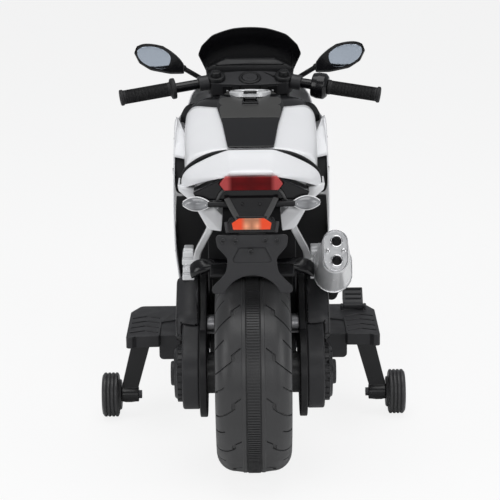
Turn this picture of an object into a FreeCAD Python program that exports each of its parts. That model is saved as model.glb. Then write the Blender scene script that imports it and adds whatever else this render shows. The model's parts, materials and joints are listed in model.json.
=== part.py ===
"""Kids electric motorbike: a ride-on toy with stabilisers, as an assembly of separate pieces.

Millimetres. X points to the rider's right, Y forward, Z up; the origin is on the ground, midway
between the rear of the rear tyre and the front of the front tyre.
"""
import FreeCAD, Part
import math
import os

from FreeCAD import Placement, Rotation, Vector

os.makedirs("parts", exist_ok=True)
doc = FreeCAD.newDocument("kids_motorbike")

DIMENSIONS = {
    # wheels
    "wheelbase": 770,
    "rear_wheel_radius": 175,
    "rear_tyre_width": 130,
    "rear_shoulder": 34,
    "front_wheel_radius": 165,
    "front_tyre_width": 92,
    "front_shoulder": 26,
    "tyre_wall": 14,
    "web_thickness": 16,
    "band_width": 25,
    "band_depth": 4,
    "band_stand": 1.6,
    "band_ribs": 84,
    "groove_depth": 4,
    "groove_width": 6,
    "groove_count": 13,
    "axle_diameter": 12,
    "run_clearance": 0.05,
    # rear drive, measured outwards from the middle plane
    "hub_radius": 36,
    "hub_end": 92,
    "swingarm_inner": 80,
    "swingarm_outer": 93,
    "drum_outer": 123,
    "drum_radius": 63,
    "lobe_radius": 25,
    "drum_wall": 3,
    "cover_radius": 50,
    "cover_depth": 14,
    "cap_radius": 22,
    "cap_depth": 7,
    "gear_module": 2,
    "drive_teeth": 40,
    "idler_small_teeth": 12,
    "pinion_module": 1.5,
    "idler_large_teeth": 36,
    "pinion_teeth": 12,
    "drive_line_angle": 58,
    "motor_radius": 17,
    "motor_length": 44,
    "motor_shaft": 5,
    "idler_pin": 8,
    # steering and front end
    "rake": 21.3,
    "fork_spread": 68,
    "fork_leg_radius": 15,
    "stem_radius": 11,
    "head_low": 296,
    "head_high": 430,
    "clamp_height": 26,
    "bar_radius": 10,
    "bar_end": 258,
    "grip_radius": 14,
    "grip_length": 104,
    # body
    "chassis_wall": 4,
    "neck_half_width": 30,
    "fairing_half_width": 148,
    "fairing_wall": 3,
    "tank_half_width": 128,
    "tank_wall": 3,
    "tail_half_width": 128,
    "tray_half_width": 74,
    "screen_wall": 3,
    # footrests and stabilisers
    "footrest_height": 184,
    "footrest_rear": 180,
    "footrest_length": 200,
    "footrest_outer": 234,
    "footrest_inner": 134,
    "footrest_thickness": 22,
    "beam_side": 30,
    "stabiliser_reach": 270,
    "stabiliser_radius": 42,
    "stabiliser_width": 36,
    "stabiliser_outer": 287,
    "stabiliser_bolt": 8,
    "arm_width": 36,
    "arm_thickness": 7,
    "pedal_width": 38,
    # exhaust
    "exhaust_tilt": 30,
    "exhaust_width": 44,
    "exhaust_height": 75,
    "exhaust_belly": 66,
    "exhaust_length": 112,
    "exhaust_outlet": 17,
    # fits
    "clearance": 0.4,
}

sheet = doc.addObject("Spreadsheet::Sheet", "Dims")
for row, (alias, size) in enumerate(DIMENSIONS.items(), start=1):
    sheet.set(f"A{row}", alias)
    sheet.set(f"B{row}", str(size))
    sheet.setAlias(f"B{row}", alias)
doc.recompute()


def dim(alias):
    """A driving dimension, read from the sheet."""
    return float(sheet.get(alias))


REAR_AXLE_Y = (dim("rear_wheel_radius") - dim("front_wheel_radius") - dim("wheelbase")) / 2
FRONT_AXLE_Y = REAR_AXLE_Y + dim("wheelbase")
REAR_AXLE = Vector(0, REAR_AXLE_Y, dim("rear_wheel_radius"))
FRONT_AXLE = Vector(0, FRONT_AXLE_Y, dim("front_wheel_radius"))
STEERING = Placement(FRONT_AXLE, Rotation(Vector(1, 0, 0), dim("rake")))
FIT = dim("clearance")
RUN = dim("run_clearance")

NODES = []
FASTENERS = []


def from_rear(y):
    """A distance ahead of the rear axle, as a Y of the frame."""
    return REAR_AXLE_Y + y


def node(piece, label):
    """Gives a finished piece its label and puts it on the list to write out."""
    piece.Label = label
    NODES.append(piece)
    return piece


def made(label):
    """The finished piece with this label."""
    return [piece for piece in NODES if piece.Label == label][0]


def bind(piece, **sizes):
    """Ties properties of a piece to cells of the sheet."""
    for name, expression in sizes.items():
        piece.setExpression(name, expression)


def new_body(name):
    return doc.addObject("PartDesign::Body", name)


def rounded(points):
    """Edges of a closed outline of (u, v) or (u, v, corner radius) points."""
    count = len(points)
    corners = []
    for index, point in enumerate(points):
        here = Vector(point[0], point[1], 0)
        radius = point[2] if len(point) > 2 else 0
        if radius == 0:
            corners.append((here, None, here))
            continue
        before = Vector(*points[index - 1][:2], 0) - here
        after = Vector(*points[(index + 1) % count][:2], 0) - here
        half = before.getAngle(after) / 2
        reach = radius / math.tan(half)
        before.normalize()
        after.normalize()
        inward = (before + after).normalize()
        middle = here + inward * (radius / math.sin(half) - radius)
        corners.append((here + before * reach, middle, here + after * reach))
    edges = []
    for index, (start, middle, end) in enumerate(corners):
        if middle is not None:
            edges.append(Part.Arc(start, middle, end))
        following = corners[(index + 1) % count][0]
        if end.distanceToPoint(following) > 1e-6:
            edges.append(Part.LineSegment(end, following))
    return edges


def circle(u, v, radius):
    """A round outline."""
    return [Part.Circle(Vector(u, v, 0), Vector(0, 0, 1), radius)]


def sketch_on(body, role, edges, offset=0.0):
    """A sketch on one of the body's own origin planes, moved along its normal."""
    plane = [item for item in body.Origin.OriginFeatures if item.Role == role][0]
    sketch = body.newObject("Sketcher::SketchObject", f"{body.Name}_Sketch")
    sketch.AttachmentSupport = [(plane, "")]
    sketch.MapMode = "FlatFace"
    sketch.AttachmentOffset = Placement(Vector(0, 0, offset), Rotation())
    for edge in edges:
        sketch.addGeometry(edge, False)
    return sketch


def pad(body, role, edges, length, offset=0.0, both=False, back=False):
    """Pads an outline; the length is an expression on the sheet."""
    sketch = sketch_on(body, role, edges, offset)
    feature = body.newObject("PartDesign::Pad", f"{body.Name}_Pad")
    feature.Profile = sketch
    feature.Midplane = both
    feature.Reversed = back
    bind(feature, Length=length)
    doc.recompute()
    return feature


def pocket(body, role, edges, length, offset=0.0, both=False, back=False):
    """Cuts an outline; the length is an expression on the sheet."""
    sketch = sketch_on(body, role, edges, offset)
    feature = body.newObject("PartDesign::Pocket", f"{body.Name}_Pocket")
    feature.Profile = sketch
    feature.Midplane = both
    feature.Reversed = back
    bind(feature, Length=length)
    doc.recompute()
    return feature


def revolve(body, edges, kind="Revolution", role="XZ_Plane"):
    """Turns an outline of (along the axis, radius) about the sketch's horizontal axis."""
    sketch = sketch_on(body, role, edges)
    feature = body.newObject(f"PartDesign::{kind}", f"{body.Name}_{kind}")
    feature.Profile = sketch
    feature.ReferenceAxis = (sketch, ["H_Axis"])
    feature.Angle = 360
    doc.recompute()
    return feature


def loft(body, role, sections, kind="AdditiveLoft"):
    """Lofts (offset, outline) sections that lie one behind the other."""
    sketches = [sketch_on(body, role, rounded(points), offset) for offset, points in sections]
    feature = body.newObject(f"PartDesign::{kind}", f"{body.Name}_{kind}")
    feature.Profile = sketches[0]
    feature.Sections = sketches[1:]
    feature.Ruled = True
    doc.recompute()
    return feature


def turn_pattern(body, feature, count, axis="X_Axis"):
    """Repeats a feature evenly round one of the body's own axes."""
    line = [item for item in body.Origin.OriginFeatures if item.Role == axis][0]
    pattern = body.newObject("PartDesign::PolarPattern", f"{body.Name}_Pattern")
    pattern.Originals = [feature]
    pattern.Axis = (line, [""])
    pattern.Angle = 360
    bind(pattern, Occurrences=count)
    body.Tip = pattern
    doc.recompute()
    return pattern


def rod(name, start, end, radius):
    """A round rod between two points; the radius is an expression on the sheet."""
    piece = doc.addObject("Part::Cylinder", name)
    along = end - start
    piece.Height = along.Length
    bind(piece, Radius=radius)
    piece.Placement = Placement(start, Rotation(Vector(0, 0, 1), along))
    doc.recompute()
    return piece


def mirrored(source, name):
    """The same piece on the other side of the middle plane."""
    piece = doc.addObject("Part::Mirroring", name)
    piece.Source = source
    piece.Normal = Vector(1, 0, 0)
    doc.recompute()
    return piece


def fused(name, pieces):
    piece = doc.addObject("Part::MultiFuse", name)
    piece.Shapes = pieces
    doc.recompute()
    return piece


def cut(name, base, tools):
    """A piece with the room for its neighbours cut out of it, one after the other."""
    for tool in tools:
        piece = doc.addObject("Part::Cut", name)
        piece.Base = base
        piece.Tool = tool
        doc.recompute()
        base = piece
    return base


def group(name, pieces):
    """Separate solids that share one node."""
    piece = doc.addObject("Part::Compound", name)
    piece.Links = pieces
    doc.recompute()
    return piece


def at(piece, position, rotation=Rotation()):
    piece.Placement = Placement(position, rotation)
    doc.recompute()
    return piece


def pair(piece, label):
    """A right piece and its mirror image on the left, as two nodes."""
    node(piece, f"{label}_right")
    node(mirrored(piece, f"{piece.Name}_Mirror"), f"{label}_left")


def fasten(piece, twice=True):
    """Puts a bolt, nut, pin or screw, and its mirror image, with the fasteners."""
    FASTENERS.append(piece)
    if twice:
        FASTENERS.append(mirrored(piece, f"{piece.Name}_Mirror"))


def both_sides(piece, label):
    """A right piece and its mirror image on the left, as one node."""
    return node(group(f"{piece.Name}_Both", [piece, mirrored(piece, f"{piece.Name}_Mirror")]), label)


def drop(near, near_radius, far, far_radius):
    """Outline round two circles and the straight tangents between them."""
    start = Vector(*near, 0)
    end = Vector(*far, 0)
    along = end - start
    heading = math.atan2(along.y, along.x)
    lean = math.acos((near_radius - far_radius) / along.Length)

    def on(centre, radius, angle):
        return centre + Vector(math.cos(angle), math.sin(angle), 0) * radius

    left, right = heading + lean, heading - lean
    return [
        Part.Arc(on(start, near_radius, left), on(start, near_radius, heading + math.pi),
                 on(start, near_radius, right)),
        Part.LineSegment(on(start, near_radius, right), on(end, far_radius, right)),
        Part.Arc(on(end, far_radius, right), on(end, far_radius, heading), on(end, far_radius, left)),
        Part.LineSegment(on(end, far_radius, left), on(start, near_radius, left)),
    ]


def wheel_profile(radius, width, shoulder, hub_end, crown_inset):
    """Half outline of a moulded wheel, mirrored to a full one: hub, web, rim and tyre."""
    half = width / 2
    bore = dim("axle_diameter") / 2 + RUN
    web = dim("web_thickness") / 2
    wall = dim("tyre_wall")
    band = dim("band_width") / 2
    crown = radius - dim("band_stand")
    low = crown - shoulder - CROWN_DROP
    side = [
        (hub_end, bore),
        (hub_end, dim("hub_radius")),
        (web, dim("hub_radius"), 6),
        (web, crown - wall, 6),
        (half - wall, crown - wall - CROWN_DROP, shoulder - wall),
        (half - wall, low - RIM_LIP),
        (half, low - RIM_LIP),
    ]
    if crown_inset:
        side += [(half, low), (half - crown_inset, low)]
    side += [
        (half - crown_inset, crown - CROWN_DROP - crown_inset, shoulder - crown_inset),
        (band, crown - crown_inset),
        (band, radius - dim("band_depth")),
    ]
    return side + [(-point[0], *point[1:]) for point in reversed(side)]


def tread_profile(radius, width, shoulder):
    """Outline of the right half of the tread layer that the grooves are cut into."""
    half = width / 2
    depth = dim("groove_depth")
    band = dim("band_width") / 2
    crown = radius - dim("band_stand")
    low = crown - shoulder - CROWN_DROP
    return [
        (band, crown),
        (half, crown - CROWN_DROP, shoulder),
        (half, low),
        (half - depth, low),
        (half - depth, crown - CROWN_DROP - depth, shoulder - depth),
        (band, crown - depth),
    ]


def tread_groove(width):
    """Lightning-shaped groove from beside the band to the sidewall, seen from outside the tyre."""
    start = dim("band_width") / 2 + 4
    end = width / 2 + 2
    reach = end - start
    wide = dim("groove_width")
    return [
        (start, 0),
        (start + 0.42 * reach, 0.34 * reach),
        (start + 0.30 * reach, 0.46 * reach),
        (end, 0.98 * reach),
        (end, 0.98 * reach + 1.6 * wide),
        (start + 0.16 * reach, 0.46 * reach + 0.5 * wide),
        (start + 0.28 * reach, 0.34 * reach + 0.3 * wide),
        (start, 0.8 * wide),
    ]


def moulded_wheel(name, radius, width, shoulder, hub_end, windows):
    """Wheel with a grooved tyre, moulded in one piece, about the X axis at the origin."""
    core = new_body(f"{name}_Core")
    revolve(core, rounded(wheel_profile(radius, width, shoulder, hub_end, dim("groove_depth"))))
    inner = dim("hub_radius") + 14
    outer = radius - dim("tyre_wall") - 20
    window = rounded([
        (-0.40 * inner, inner, 8),
        (0.40 * inner, inner, 8),
        (0.34 * outer, outer, 12),
        (-0.34 * outer, outer, 12),
    ])
    opening = pocket(core, "YZ_Plane", window, "Dims.web_thickness + 2", both=True)
    turn_pattern(core, opening, windows)
    sides = []
    for hand in (1, -1):
        tread = new_body(f"{name}_Tread{'Right' if hand > 0 else 'Left'}")
        profile = [(hand * point[0], *point[1:]) for point in tread_profile(radius, width, shoulder)]
        revolve(tread, rounded(profile))
        outline = [(hand * point[0], point[1]) for point in tread_groove(width)]
        groove = pocket(tread, "XY_Plane", rounded(outline), "Dims.rear_shoulder * 2", offset=radius + 5)
        turn_pattern(tread, groove, "Dims.groove_count")
        sides.append(tread)
    return fused(name, [core] + sides)


def traction_band(name, radius):
    """Rubber band with cross ribs, seated in the channel round the tyre."""
    body = new_body(name)
    seat = radius - dim("band_depth")
    ribs = int(dim("band_ribs"))
    step = 2 * math.pi / ribs
    valley = radius - dim("band_stand")
    corners = []
    for rib in range(ribs):
        for turn, reach in ((-0.30, valley), (-0.22, radius), (0.22, radius), (0.30, valley)):
            angle = (rib + turn) * step
            corners.append((reach * math.cos(angle), reach * math.sin(angle)))
    pad(body, "YZ_Plane", rounded(corners) + circle(0, 0, seat), "Dims.band_width", both=True)
    return body


CROWN_DROP = 5
RIM_LIP = 12


def gear(body, teeth, module, width, offset, phase=0.0):
    """Pads a spur gear; a tooth is centred on the phase angle, in degrees from the sketch's own axis."""
    pitch = teeth * module / 2
    tip, root = pitch + TOOTH_TIP * module, pitch - TOOTH_ROOT * module
    corners = []
    for tooth in range(int(teeth)):
        middle = math.radians(phase) + 2 * math.pi * tooth / teeth
        for reach, side in ((root, -1), (tip, -1), (tip, 1), (root, 1)):
            half = TOOTH_HALF * module - TOOTH_SLOPE * (reach - pitch)
            angle = middle + side * half / reach
            corners.append((reach * math.cos(angle), reach * math.sin(angle)))
    return pad(body, "YZ_Plane", rounded(corners), width, offset)


TOOTH_TIP = 0.8
TOOTH_ROOT = 1.1
TOOTH_HALF = 0.62
TOOTH_SLOPE = 0.364

# Rear wheel, its band, and the drive on each side of it
DRIVE_LINE = math.radians(dim("drive_line_angle"))
IDLER_REACH = dim("gear_module") * (dim("drive_teeth") + dim("idler_small_teeth")) / 2
MOTOR_REACH = IDLER_REACH + dim("pinion_module") * (dim("idler_large_teeth") + dim("pinion_teeth")) / 2
IDLER_AT = (IDLER_REACH * math.cos(DRIVE_LINE), IDLER_REACH * math.sin(DRIVE_LINE))
MOTOR_AT = (MOTOR_REACH * math.cos(DRIVE_LINE), MOTOR_REACH * math.sin(DRIVE_LINE))
IDLER_AXIS = REAR_AXLE + Vector(0, *IDLER_AT)
MOTOR_AXIS = REAR_AXLE + Vector(0, *MOTOR_AT)
GEAR_START = dim("swingarm_outer") + 3
GEAR_WIDTH = 10
LARGE_START = GEAR_START + GEAR_WIDTH + 1.5
LARGE_WIDTH = 8
WALL_INSIDE = dim("drum_outer") - dim("drum_wall")
HEX_DEPTH = 8
HEX_RADIUS = 22
AXLE_END = dim("drum_outer") + dim("cover_depth") + 2


def hexagon(radius, u=0.0, v=0.0):
    """Six-sided outline, by the distance to its corners."""
    return [(u + radius * math.cos(math.radians(60 * k)), v + radius * math.sin(math.radians(60 * k)))
            for k in range(6)]


def make_rear_wheel():
    solid = moulded_wheel("RearWheel", dim("rear_wheel_radius"), dim("rear_tyre_width"),
                          dim("rear_shoulder"), dim("hub_end"), "5")
    sockets = []
    for hand in (1, -1):
        socket = new_body(f"HubSocket{'Right' if hand > 0 else 'Left'}")
        pad(socket, "YZ_Plane", rounded(hexagon(HEX_RADIUS)), str(HEX_DEPTH),
            offset=hand * dim("hub_end"), back=hand > 0)
        sockets.append(socket)
    wheel = at(cut("RearWheelSocketed", solid, sockets), REAR_AXLE)
    node(wheel, "rear_wheel")
    node(at(traction_band("RearBand", dim("rear_wheel_radius")), REAR_AXLE), "rear_traction_band")


def make_drive_gear():
    """Output gear whose six-sided boss sits in the wheel hub."""
    body = new_body("DriveGear")
    gear(body, dim("drive_teeth"), dim("gear_module"), str(GEAR_WIDTH), GEAR_START,
         dim("drive_line_angle"))
    collar = GEAR_START - dim("hub_end")
    pad(body, "YZ_Plane", circle(0, 0, dim("hub_radius") - 4), str(collar), GEAR_START, back=True)
    pad(body, "YZ_Plane", rounded(hexagon(HEX_RADIUS - FIT / 2)), str(HEX_DEPTH + collar - FIT),
        GEAR_START, back=True)
    spacer = WALL_INSIDE - FIT - GEAR_START - GEAR_WIDTH
    pad(body, "YZ_Plane", circle(0, 0, 11), str(spacer), GEAR_START + GEAR_WIDTH)
    pocket(body, "YZ_Plane", circle(0, 0, dim("axle_diameter") / 2 + RUN), "Dims.drum_outer",
           offset=dim("drum_outer"))
    both_sides(at(body, REAR_AXLE), "drive_gears")


def make_idler():
    """Two gears in one moulding, on a steel pin."""
    body = new_body("Idler")
    gear(body, dim("idler_small_teeth"), dim("gear_module"), str(LARGE_START - GEAR_START), GEAR_START,
         dim("drive_line_angle") + 180 + 180 / dim("idler_small_teeth"))
    gear(body, dim("idler_large_teeth"), dim("pinion_module"), str(LARGE_WIDTH), LARGE_START,
         dim("drive_line_angle"))
    collar = GEAR_START - dim("swingarm_outer") - FIT
    pad(body, "YZ_Plane", circle(0, 0, 7), str(collar), GEAR_START, back=True)
    pad(body, "YZ_Plane", circle(0, 0, 7), str(WALL_INSIDE - FIT - LARGE_START - LARGE_WIDTH),
        LARGE_START + LARGE_WIDTH)
    pocket(body, "YZ_Plane", circle(0, 0, dim("idler_pin") / 2 + RUN), "Dims.drum_outer",
           offset=dim("drum_outer"))
    both_sides(at(body, IDLER_AXIS), "idler_gears")
    pin = rod("IdlerPin", IDLER_AXIS + Vector(dim("swingarm_outer") - PIN_DEPTH, 0, 0),
              IDLER_AXIS + Vector(WALL_INSIDE, 0, 0), "Dims.idler_pin / 2")
    fasten(pin)


def make_motor():
    """Motor through the swingarm plate, and its pinion on the shaft."""
    can = new_body("Motor")
    front = LARGE_START - 2
    back = front - dim("motor_length")
    edge = dim("motor_radius")
    revolve(can, rounded([(back, 0), (front, 0), (front, edge), (back + 4, edge, 3), (back + 4, 9),
                          (back, 9)]))
    bore = dim("motor_shaft") / 2 + RUN
    pocket(can, "YZ_Plane", circle(0, 0, bore), "Dims.motor_length - 12", offset=front)
    both_sides(at(can, MOTOR_AXIS), "drive_motors")
    pinion = new_body("Pinion")
    gear(pinion, dim("pinion_teeth"), dim("pinion_module"), str(LARGE_WIDTH + 1), LARGE_START - 0.5,
         dim("drive_line_angle") + 180 + 180 / dim("pinion_teeth"))
    pad(pinion, "YZ_Plane", circle(0, 0, dim("motor_shaft") / 2), "Dims.motor_length - 13",
        LARGE_START - 0.5, back=True)
    both_sides(at(pinion, MOTOR_AXIS), "motor_pinions")


def make_gearbox():
    """Housing cup on the swingarm plate, its round cover, the axle nut and the cap."""
    cup = new_body("Gearbox")
    depth = "Dims.drum_outer - Dims.swingarm_outer"
    wall = dim("drum_wall")
    pad(cup, "YZ_Plane", drop((0, 0), dim("drum_radius"), MOTOR_AT, dim("lobe_radius")), depth,
        dim("swingarm_outer"))
    pocket(cup, "YZ_Plane",
           drop((0, 0), dim("drum_radius") - wall, MOTOR_AT, dim("lobe_radius") - wall),
           depth + " - Dims.drum_wall", offset=WALL_INSIDE)
    pocket(cup, "YZ_Plane", circle(0, 0, dim("axle_diameter") / 2), "2 * Dims.drum_wall",
           offset=dim("drum_outer") + 1)
    both_sides(at(cup, REAR_AXLE), "gearbox_housings")

    cover = new_body("GearboxCover")
    base = dim("drum_outer")
    face = base + dim("cover_depth")
    rim = dim("cover_radius")
    revolve(cover, rounded([(base, rim - 4), (base, rim), (face - 5, rim, 1), (face - 4, rim - 5, 2),
                            (face, rim - 8, 2), (face, dim("cap_radius") - 4),
                            (face - 3, dim("cap_radius") - 4), (face - 3, rim - 10, 2),
                            (face - 8, rim - 4, 2)]))
    notch = pocket(cover, "XY_Plane", rounded([(base - 1, -1.6), (face - 7, -1.6), (face - 7, 1.6),
                                               (base - 1, 1.6)]),
                   "4", offset=rim + 2)
    turn_pattern(cover, notch, "24")

    nut = new_body("AxleNut")
    pad(nut, "YZ_Plane", rounded(hexagon(11)) + circle(0, 0, dim("axle_diameter") / 2), "8", base)
    fasten(at(nut, REAR_AXLE))

    cap = new_body("AxleCap")
    ring = dim("cap_radius")
    top = face + dim("cap_depth")
    revolve(cap, rounded([(face - 3, ring - 6), (face - 3, ring - 4), (face, ring - 4), (face, ring),
                          (top, ring - 1, 3), (top, 0), (top - 3, 0), (top - 3, ring - 6)]))
    both_sides(at(fused("GearboxCoverCapped", [cover, cap]), REAR_AXLE), "gearbox_covers")

    axle = rod("RearAxle", REAR_AXLE - Vector(AXLE_END, 0, 0), REAR_AXLE + Vector(AXLE_END, 0, 0),
               "Dims.axle_diameter / 2")
    fasten(axle, twice=False)


def make_swingarm():
    """Plate that carries the gearbox, and the bulged cover over the motor end."""
    plate = new_body("Swingarm")
    thick = "Dims.swingarm_outer - Dims.swingarm_inner"
    inner = dim("swingarm_inner")
    pad(plate, "YZ_Plane", drop((0, 0), SWINGARM_END, PIVOT_AT, PIVOT_RADIUS), thick, inner)
    pad(plate, "YZ_Plane", drop((0, 0), dim("drum_radius"), COVER_FAR, COVER_RADIUS), thick, inner)
    pocket(plate, "YZ_Plane", circle(0, 0, dim("hub_radius") + 1.5), "Dims.swingarm_outer",
           offset=dim("swingarm_outer") + 1)
    pocket(plate, "YZ_Plane", circle(*MOTOR_AT, dim("motor_radius")), "Dims.swingarm_outer",
           offset=dim("swingarm_outer") + 1)
    pocket(plate, "YZ_Plane", circle(*IDLER_AT, dim("idler_pin") / 2), str(PIN_DEPTH),
           offset=dim("swingarm_outer"))
    pocket(plate, "YZ_Plane", circle(*PIVOT_AT, PIVOT_BOLT), "Dims.swingarm_outer",
           offset=dim("swingarm_outer") + 1)
    both_sides(at(plate, REAR_AXLE), "swingarms")

    cover = new_body("SwingarmCover")
    base = dim("swingarm_outer")
    outline = [drop(MOTOR_AT, COVER_RADIUS - inset, COVER_FAR, COVER_RADIUS - inset)
               for inset in (0, 3, 10)]
    sketches = [sketch_on(cover, "YZ_Plane", edges, base + rise)
                for edges, rise in zip(outline, (0, COVER_RISE - 10, COVER_RISE))]
    shell = cover.newObject("PartDesign::AdditiveLoft", "SwingarmCover_Loft")
    shell.Profile = sketches[0]
    shell.Sections = sketches[1:]
    doc.recompute()
    inside = dim("lobe_radius") + FIT
    pocket(cover, "YZ_Plane", drop(MOTOR_AT, inside, COVER_FAR, inside), str(COVER_DEPTH),
           offset=base + COVER_DEPTH)
    pocket(cover, "YZ_Plane", drop((0, 0), dim("drum_radius") + FIT, MOTOR_AT, inside), str(COVER_DEPTH),
           offset=base + COVER_DEPTH)
    pocket(cover, "YZ_Plane", circle(0, 0, dim("drum_radius") + FIT), "Dims.drum_outer",
           offset=base + COVER_RISE + 1)
    both_sides(at(cover, REAR_AXLE), "swingarm_covers")


PIN_DEPTH = 5
SWINGARM_END = 77
PIVOT_AT = (262, 60)
PIVOT_RADIUS = 34
PIVOT_BOLT = 6
COVER_FAR = (112, 110)
COVER_RADIUS = 36
COVER_RISE = 42
COVER_DEPTH = dim("drum_outer") - dim("swingarm_outer") + FIT


# Front end: everything that turns with the handlebar, built about the steering axis as Z
CLAMP_LOW = dim("head_high") + FIT
CLAMP_TOP = CLAMP_LOW + dim("clamp_height")
LOWER_CLAMP_TOP = dim("head_low") - FIT
LEG_TOP = CLAMP_TOP + 2
TUBE_RADIUS = dim("fork_leg_radius") - 3
BAR_INNER = Vector(60, 0, CLAMP_TOP - 4)
BAR_SWEEP = 47
BAR_DROP = 10
BAR_OUTER = Vector(dim("bar_end"), -BAR_SWEEP, CLAMP_TOP - 4 - BAR_DROP)
BAR_LENGTH = (BAR_OUTER - BAR_INNER).Length
BAR_FRAME = STEERING.multiply(Placement(BAR_INNER, Rotation(Vector(1, 0, 0), BAR_OUTER - BAR_INNER)))
GRIP_START = BAR_LENGTH - dim("grip_length")
THROTTLE_START = GRIP_START - 2
BUTTON_RADIUS = 15
BUTTON_TRAVEL = 2.5
SLIDER_TOP = 205


def bridge(spread, radius, waist):
    """Outline of a fork clamp: round ends and a narrower middle."""
    end = spread + radius
    return [(end, -radius, radius - 1), (end, radius, radius - 1), (waist, waist + 4, 12),
            (-waist, waist + 4, 12), (-end, radius, radius - 1), (-end, -radius, radius - 1),
            (-waist, -waist, 12), (waist, -waist, 12)]


def make_fork():
    """Fork legs with their caps, and the stem with the lower clamp."""
    leg = new_body("ForkLeg")
    spread = dim("fork_spread")
    pad(leg, "XY_Plane", circle(spread, 0, dim("fork_leg_radius")), str(SLIDER_TOP + 26), -26)
    pad(leg, "XY_Plane", circle(spread, 0, TUBE_RADIUS), str(LEG_TOP - SLIDER_TOP), SLIDER_TOP)
    pocket(leg, "YZ_Plane", circle(0, 0, dim("axle_diameter") / 2), "4 * Dims.fork_leg_radius",
           offset=spread + 2 * dim("fork_leg_radius"))

    stem = new_body("SteeringStem")
    holes = circle(spread, 0, TUBE_RADIUS) + circle(-spread, 0, TUBE_RADIUS)
    pad(stem, "XY_Plane", rounded(bridge(spread, dim("fork_leg_radius") + 3, 26)) + holes,
        "Dims.clamp_height", LOWER_CLAMP_TOP, back=True)
    pad(stem, "XY_Plane", circle(0, 0, dim("stem_radius")), str(CLAMP_TOP - 12 - LOWER_CLAMP_TOP),
        LOWER_CLAMP_TOP)
    node(at(stem, FRONT_AXLE, STEERING.Rotation), "steering_stem")

    pad(leg, "XY_Plane", rounded(hexagon(TUBE_RADIUS + 3, spread)), "5", LEG_TOP)
    pad(leg, "XY_Plane", circle(spread, 0, TUBE_RADIUS - 4), "9", LEG_TOP)
    both_sides(at(leg, FRONT_AXLE, STEERING.Rotation), "fork_legs")


def make_clamp():
    """Upper fork clamp with sockets for the handlebar tubes, and the start button in its middle."""
    plate = new_body("UpperClamp")
    spread = dim("fork_spread")
    holes = circle(spread, 0, TUBE_RADIUS) + circle(-spread, 0, TUBE_RADIUS)
    pad(plate, "XY_Plane", rounded(bridge(spread, dim("fork_leg_radius") + 3, 24)) + holes,
        "Dims.clamp_height", CLAMP_LOW)
    pocket(plate, "XY_Plane", circle(0, 0, dim("stem_radius")), "Dims.clamp_height - 12",
           offset=CLAMP_TOP - 12)
    pocket(plate, "XY_Plane", circle(0, 0, BUTTON_RADIUS + FIT), "6.5", offset=CLAMP_TOP)
    at(plate, FRONT_AXLE, STEERING.Rotation)
    boss = rod("BarBoss", BAR_FRAME.multVec(Vector(24, 0, 0)), BAR_FRAME.multVec(Vector(44, 0, 0)),
               "Dims.bar_radius + 5")
    tube = rod("HandlebarTube", BAR_FRAME.multVec(Vector(24, 0, 0)),
               BAR_FRAME.multVec(Vector(BAR_LENGTH - 4, 0, 0)), "Dims.bar_radius")
    ends = fused("ClampEnds", [plate, boss, mirrored(boss, "BarBossLeft")])
    clear = [tube, mirrored(tube, "HandlebarTubeLeft")]
    for hand in (1, -1):
        clear.append(rod(f"LegRoom{'Right' if hand > 0 else 'Left'}",
                         STEERING.multVec(Vector(hand * spread, 0, CLAMP_LOW - 5)),
                         STEERING.multVec(Vector(hand * spread, 0, CLAMP_TOP + 30)),
                         "Dims.fork_leg_radius - 3"))
    node(cut("UpperClampBored", ends, clear), "upper_fork_clamp")
    both_sides(tube, "handlebar_tubes")

    button = new_body("StartButton")
    pad(button, "XY_Plane", circle(0, 0, BUTTON_RADIUS), "6.5", CLAMP_TOP - 6.5 + BUTTON_TRAVEL + FIT)
    mark = [(9 * math.cos(math.radians(90 + 120 * k)), 9 * math.sin(math.radians(90 + 120 * k)), 2)
            for k in range(3)]
    pad(button, "XY_Plane", rounded(mark), "1.2", CLAMP_TOP + BUTTON_TRAVEL + FIT)
    node(at(button, FRONT_AXLE, STEERING.Rotation), "start_button")


def grip_sleeve(name, start, end, bore, flange):
    """Ribbed grip, turned about the handlebar tube."""
    body = new_body(name)
    skin = dim("grip_radius")
    inner = dim("bar_radius") + bore
    profile = [(start, inner)]
    if flange:
        profile += [(start, skin + 7, 2), (start + 9, skin + 7, 3), (start + 11, skin, 2)]
    else:
        profile += [(start, skin + 1, 1)]
    profile += [(end - 7, skin), (end - 6, skin + 2, 1), (end, skin + 2, 2), (end, 0),
                (BAR_LENGTH - 4 + FIT, 0), (BAR_LENGTH - 4 + FIT, inner)]
    revolve(body, rounded(profile))
    rib = pocket(body, "XY_Plane",
                 rounded([(start + 18, -1), (end - 14, -1), (end - 14, 1), (start + 18, 1)]), "3",
                 offset=skin + 2)
    turn_pattern(body, rib, "12")
    return body


def make_grips():
    """Left grip with a flange, right throttle housing and the throttle grip that turns on the tube."""
    left = grip_sleeve("LeftGrip", GRIP_START - 8, BAR_LENGTH, 0, True)
    at(left, BAR_FRAME.Base, BAR_FRAME.Rotation)
    node(mirrored(left, "LeftGripMirror"), "grip_left")
    throttle = grip_sleeve("ThrottleGrip", THROTTLE_START + FIT, BAR_LENGTH, RUN, False)
    node(at(throttle, BAR_FRAME.Base, BAR_FRAME.Rotation), "throttle_grip")
    housing = new_body("ThrottleHousing")
    edge = dim("grip_radius") + 12
    revolve(housing, rounded([(THROTTLE_START - 32, dim("bar_radius")), (THROTTLE_START - 32, edge - 3, 4),
                              (THROTTLE_START - 20, edge, 6), (THROTTLE_START - 6, edge, 4),
                              (THROTTLE_START, edge - 6, 3), (THROTTLE_START, dim("bar_radius"))]))
    node(at(housing, BAR_FRAME.Base, BAR_FRAME.Rotation), "throttle_housing")


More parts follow.
